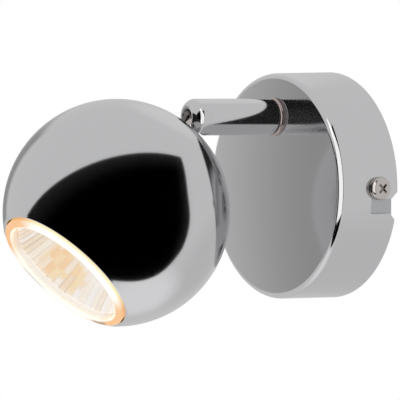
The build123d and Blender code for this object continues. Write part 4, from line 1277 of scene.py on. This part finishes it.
    def floor(self, studio):
        """A pale disc that fades out towards its edge."""
        place = placing((0, 0, -studio.floor_drop), (0, 0, 1))
        rows = 12
        outline = [(studio.floor_radius * row / rows, 0) for row in range(rows + 1)]
        disc = turned(outline, place, 96, closed=False)
        material = bpy.data.materials.new("floor")
        tree = Tree(material)
        across, along, _ = tree.place().parts()
        spread = (across * across + along * along).root()
        sockets = {
            "Base Color": (1 - tree.noise(6)).tint(studio.floor_colour, 0.98),
            "Roughness": 0.9,
            "Alpha": spread.fade(0.35, 0.8),
        }
        tree.end("ShaderNodeOutputMaterial", tree.wire("ShaderNodeBsdfPrincipled", 0, None, sockets))
        staged(disc, "floor", material)

    def lamps(self, studio):
        """Two soft lamps that light the plain surfaces and throw the floor's shadow."""
        rows = (("key", (0.55, -0.9, 0.85), 0.8, 1.0), ("fill", (-0.9, -0.7, 0.5), 0.9, 0.45))
        for name, place, size, share_of_power in rows:
            lamp = bpy.data.lights.new(name, "AREA")
            lamp.energy = studio.lamp_power * share_of_power
            lamp.size = size
            thing = placed(name, lamp)
            thing.location = place
            thing.rotation_euler = (-Vector(place)).to_track_quat("-Z", "Y").to_euler()
            thing.visible_glossy = False
            thing.visible_camera = False
            thing.visible_transmission = False

    def world(self, context):
        """White to the camera and in mirrors and glass, and a plain level elsewhere."""
        context.scene.world = bpy.data.worlds.new("studio")
        tree = Tree(context.scene.world)
        ray = tree.add("ShaderNodeLightPath")
        kinds = ("Is Camera Ray", "Is Glossy Ray", "Is Transmission Ray")
        camera, mirror, glass = (Wire(tree, ray.outputs[kind]) for kind in kinds)
        seen = (camera + mirror + glass).below(1.0)
        white = tree.wire("ShaderNodeBackground", 0, None, {"Color": (1, 1, 1), "Strength": 1.0})
        plain = tree.wire("ShaderNodeBackground", 0, None, {"Color": (0.97, 0.98, 1.0), "Strength": 0.45})
        both = tree.wire("ShaderNodeMixShader", 0, None, {0: seen, 1: plain, 2: white})
        tree.end("ShaderNodeOutputWorld", both)

    def camera(self, context, studio):
        """The camera looks at the aim point from the side and a little above."""
        turn, rise = studio.camera_azimuth, studio.camera_elevation
        back = Vector((sin(turn) * cos(rise), -cos(turn) * cos(rise), sin(rise)))
        lens = bpy.data.cameras.new("camera")
        lens.lens = studio.camera_lens
        lens.sensor_width = 36
        lens.clip_start = 0.05
        thing = placed("camera", lens)
        stand = Vector(studio.camera_aim) + back * studio.camera_distance
        thing.matrix_world = placing(stand, back, (cos(turn), sin(turn), 0))
        context.scene.camera = thing


def staged(made, name, material):
    """A piece of the stage, with its finish."""
    thing = as_object(made, name)
    thing.data.materials.append(material)
    return thing


def reflections_only(thing):
    """Hides stage equipment from all but reflections."""
    thing.visible_camera = False
    thing.visible_diffuse = False
    thing.visible_transmission = False
    thing.visible_volume_scatter = False


class SpotlightPanel(bpy.types.Panel):
    """Lists the steps that build the spotlight"""

    bl_idname = "VIEW3D_PT_spotlight"
    bl_label = "Pivoting spotlight"
    bl_space_type = "VIEW_3D"
    bl_region_type = "UI"
    bl_category = "Spotlight"

    def draw(self, context):
        for step in steps:
            self.layout.operator(step.bl_idname)
        for group in (name for name, _ in groups):
            box = self.layout.box()
            settings = getattr(context.scene, group)
            for name in settings.__annotations__:
                box.prop(settings, name)


groups = (
    ("spotlight_plate", PlateSettings),
    ("spotlight_arm", ArmSettings),
    ("spotlight_head", HeadSettings),
    ("spotlight_finish", FinishSettings),
    ("spotlight_studio", StudioSettings),
)
steps = (MakeFinishes, MakePlate, MakeScrews, MakeArm, MakeStem, MakeShade, MakeLamp, MakeStage)


def register():
    for name, settings in groups:
        bpy.utils.register_class(settings)
        setattr(bpy.types.Scene, name, PointerProperty(type=settings))
    for made in (*steps, SpotlightPanel):
        bpy.utils.register_class(made)


def unregister():
    for made in reversed((*steps, SpotlightPanel)):
        bpy.utils.unregister_class(made)
    for name, settings in reversed(groups):
        delattr(bpy.types.Scene, name)
        bpy.utils.unregister_class(settings)


def main():
    register()
    for step in steps:
        family, name = step.bl_idname.split(".")
        if getattr(getattr(bpy.ops, family), name)() != {"FINISHED"}:
            raise RuntimeError(f"{step.bl_label} didn't finish")


if __name__ == "__main__":
    main()
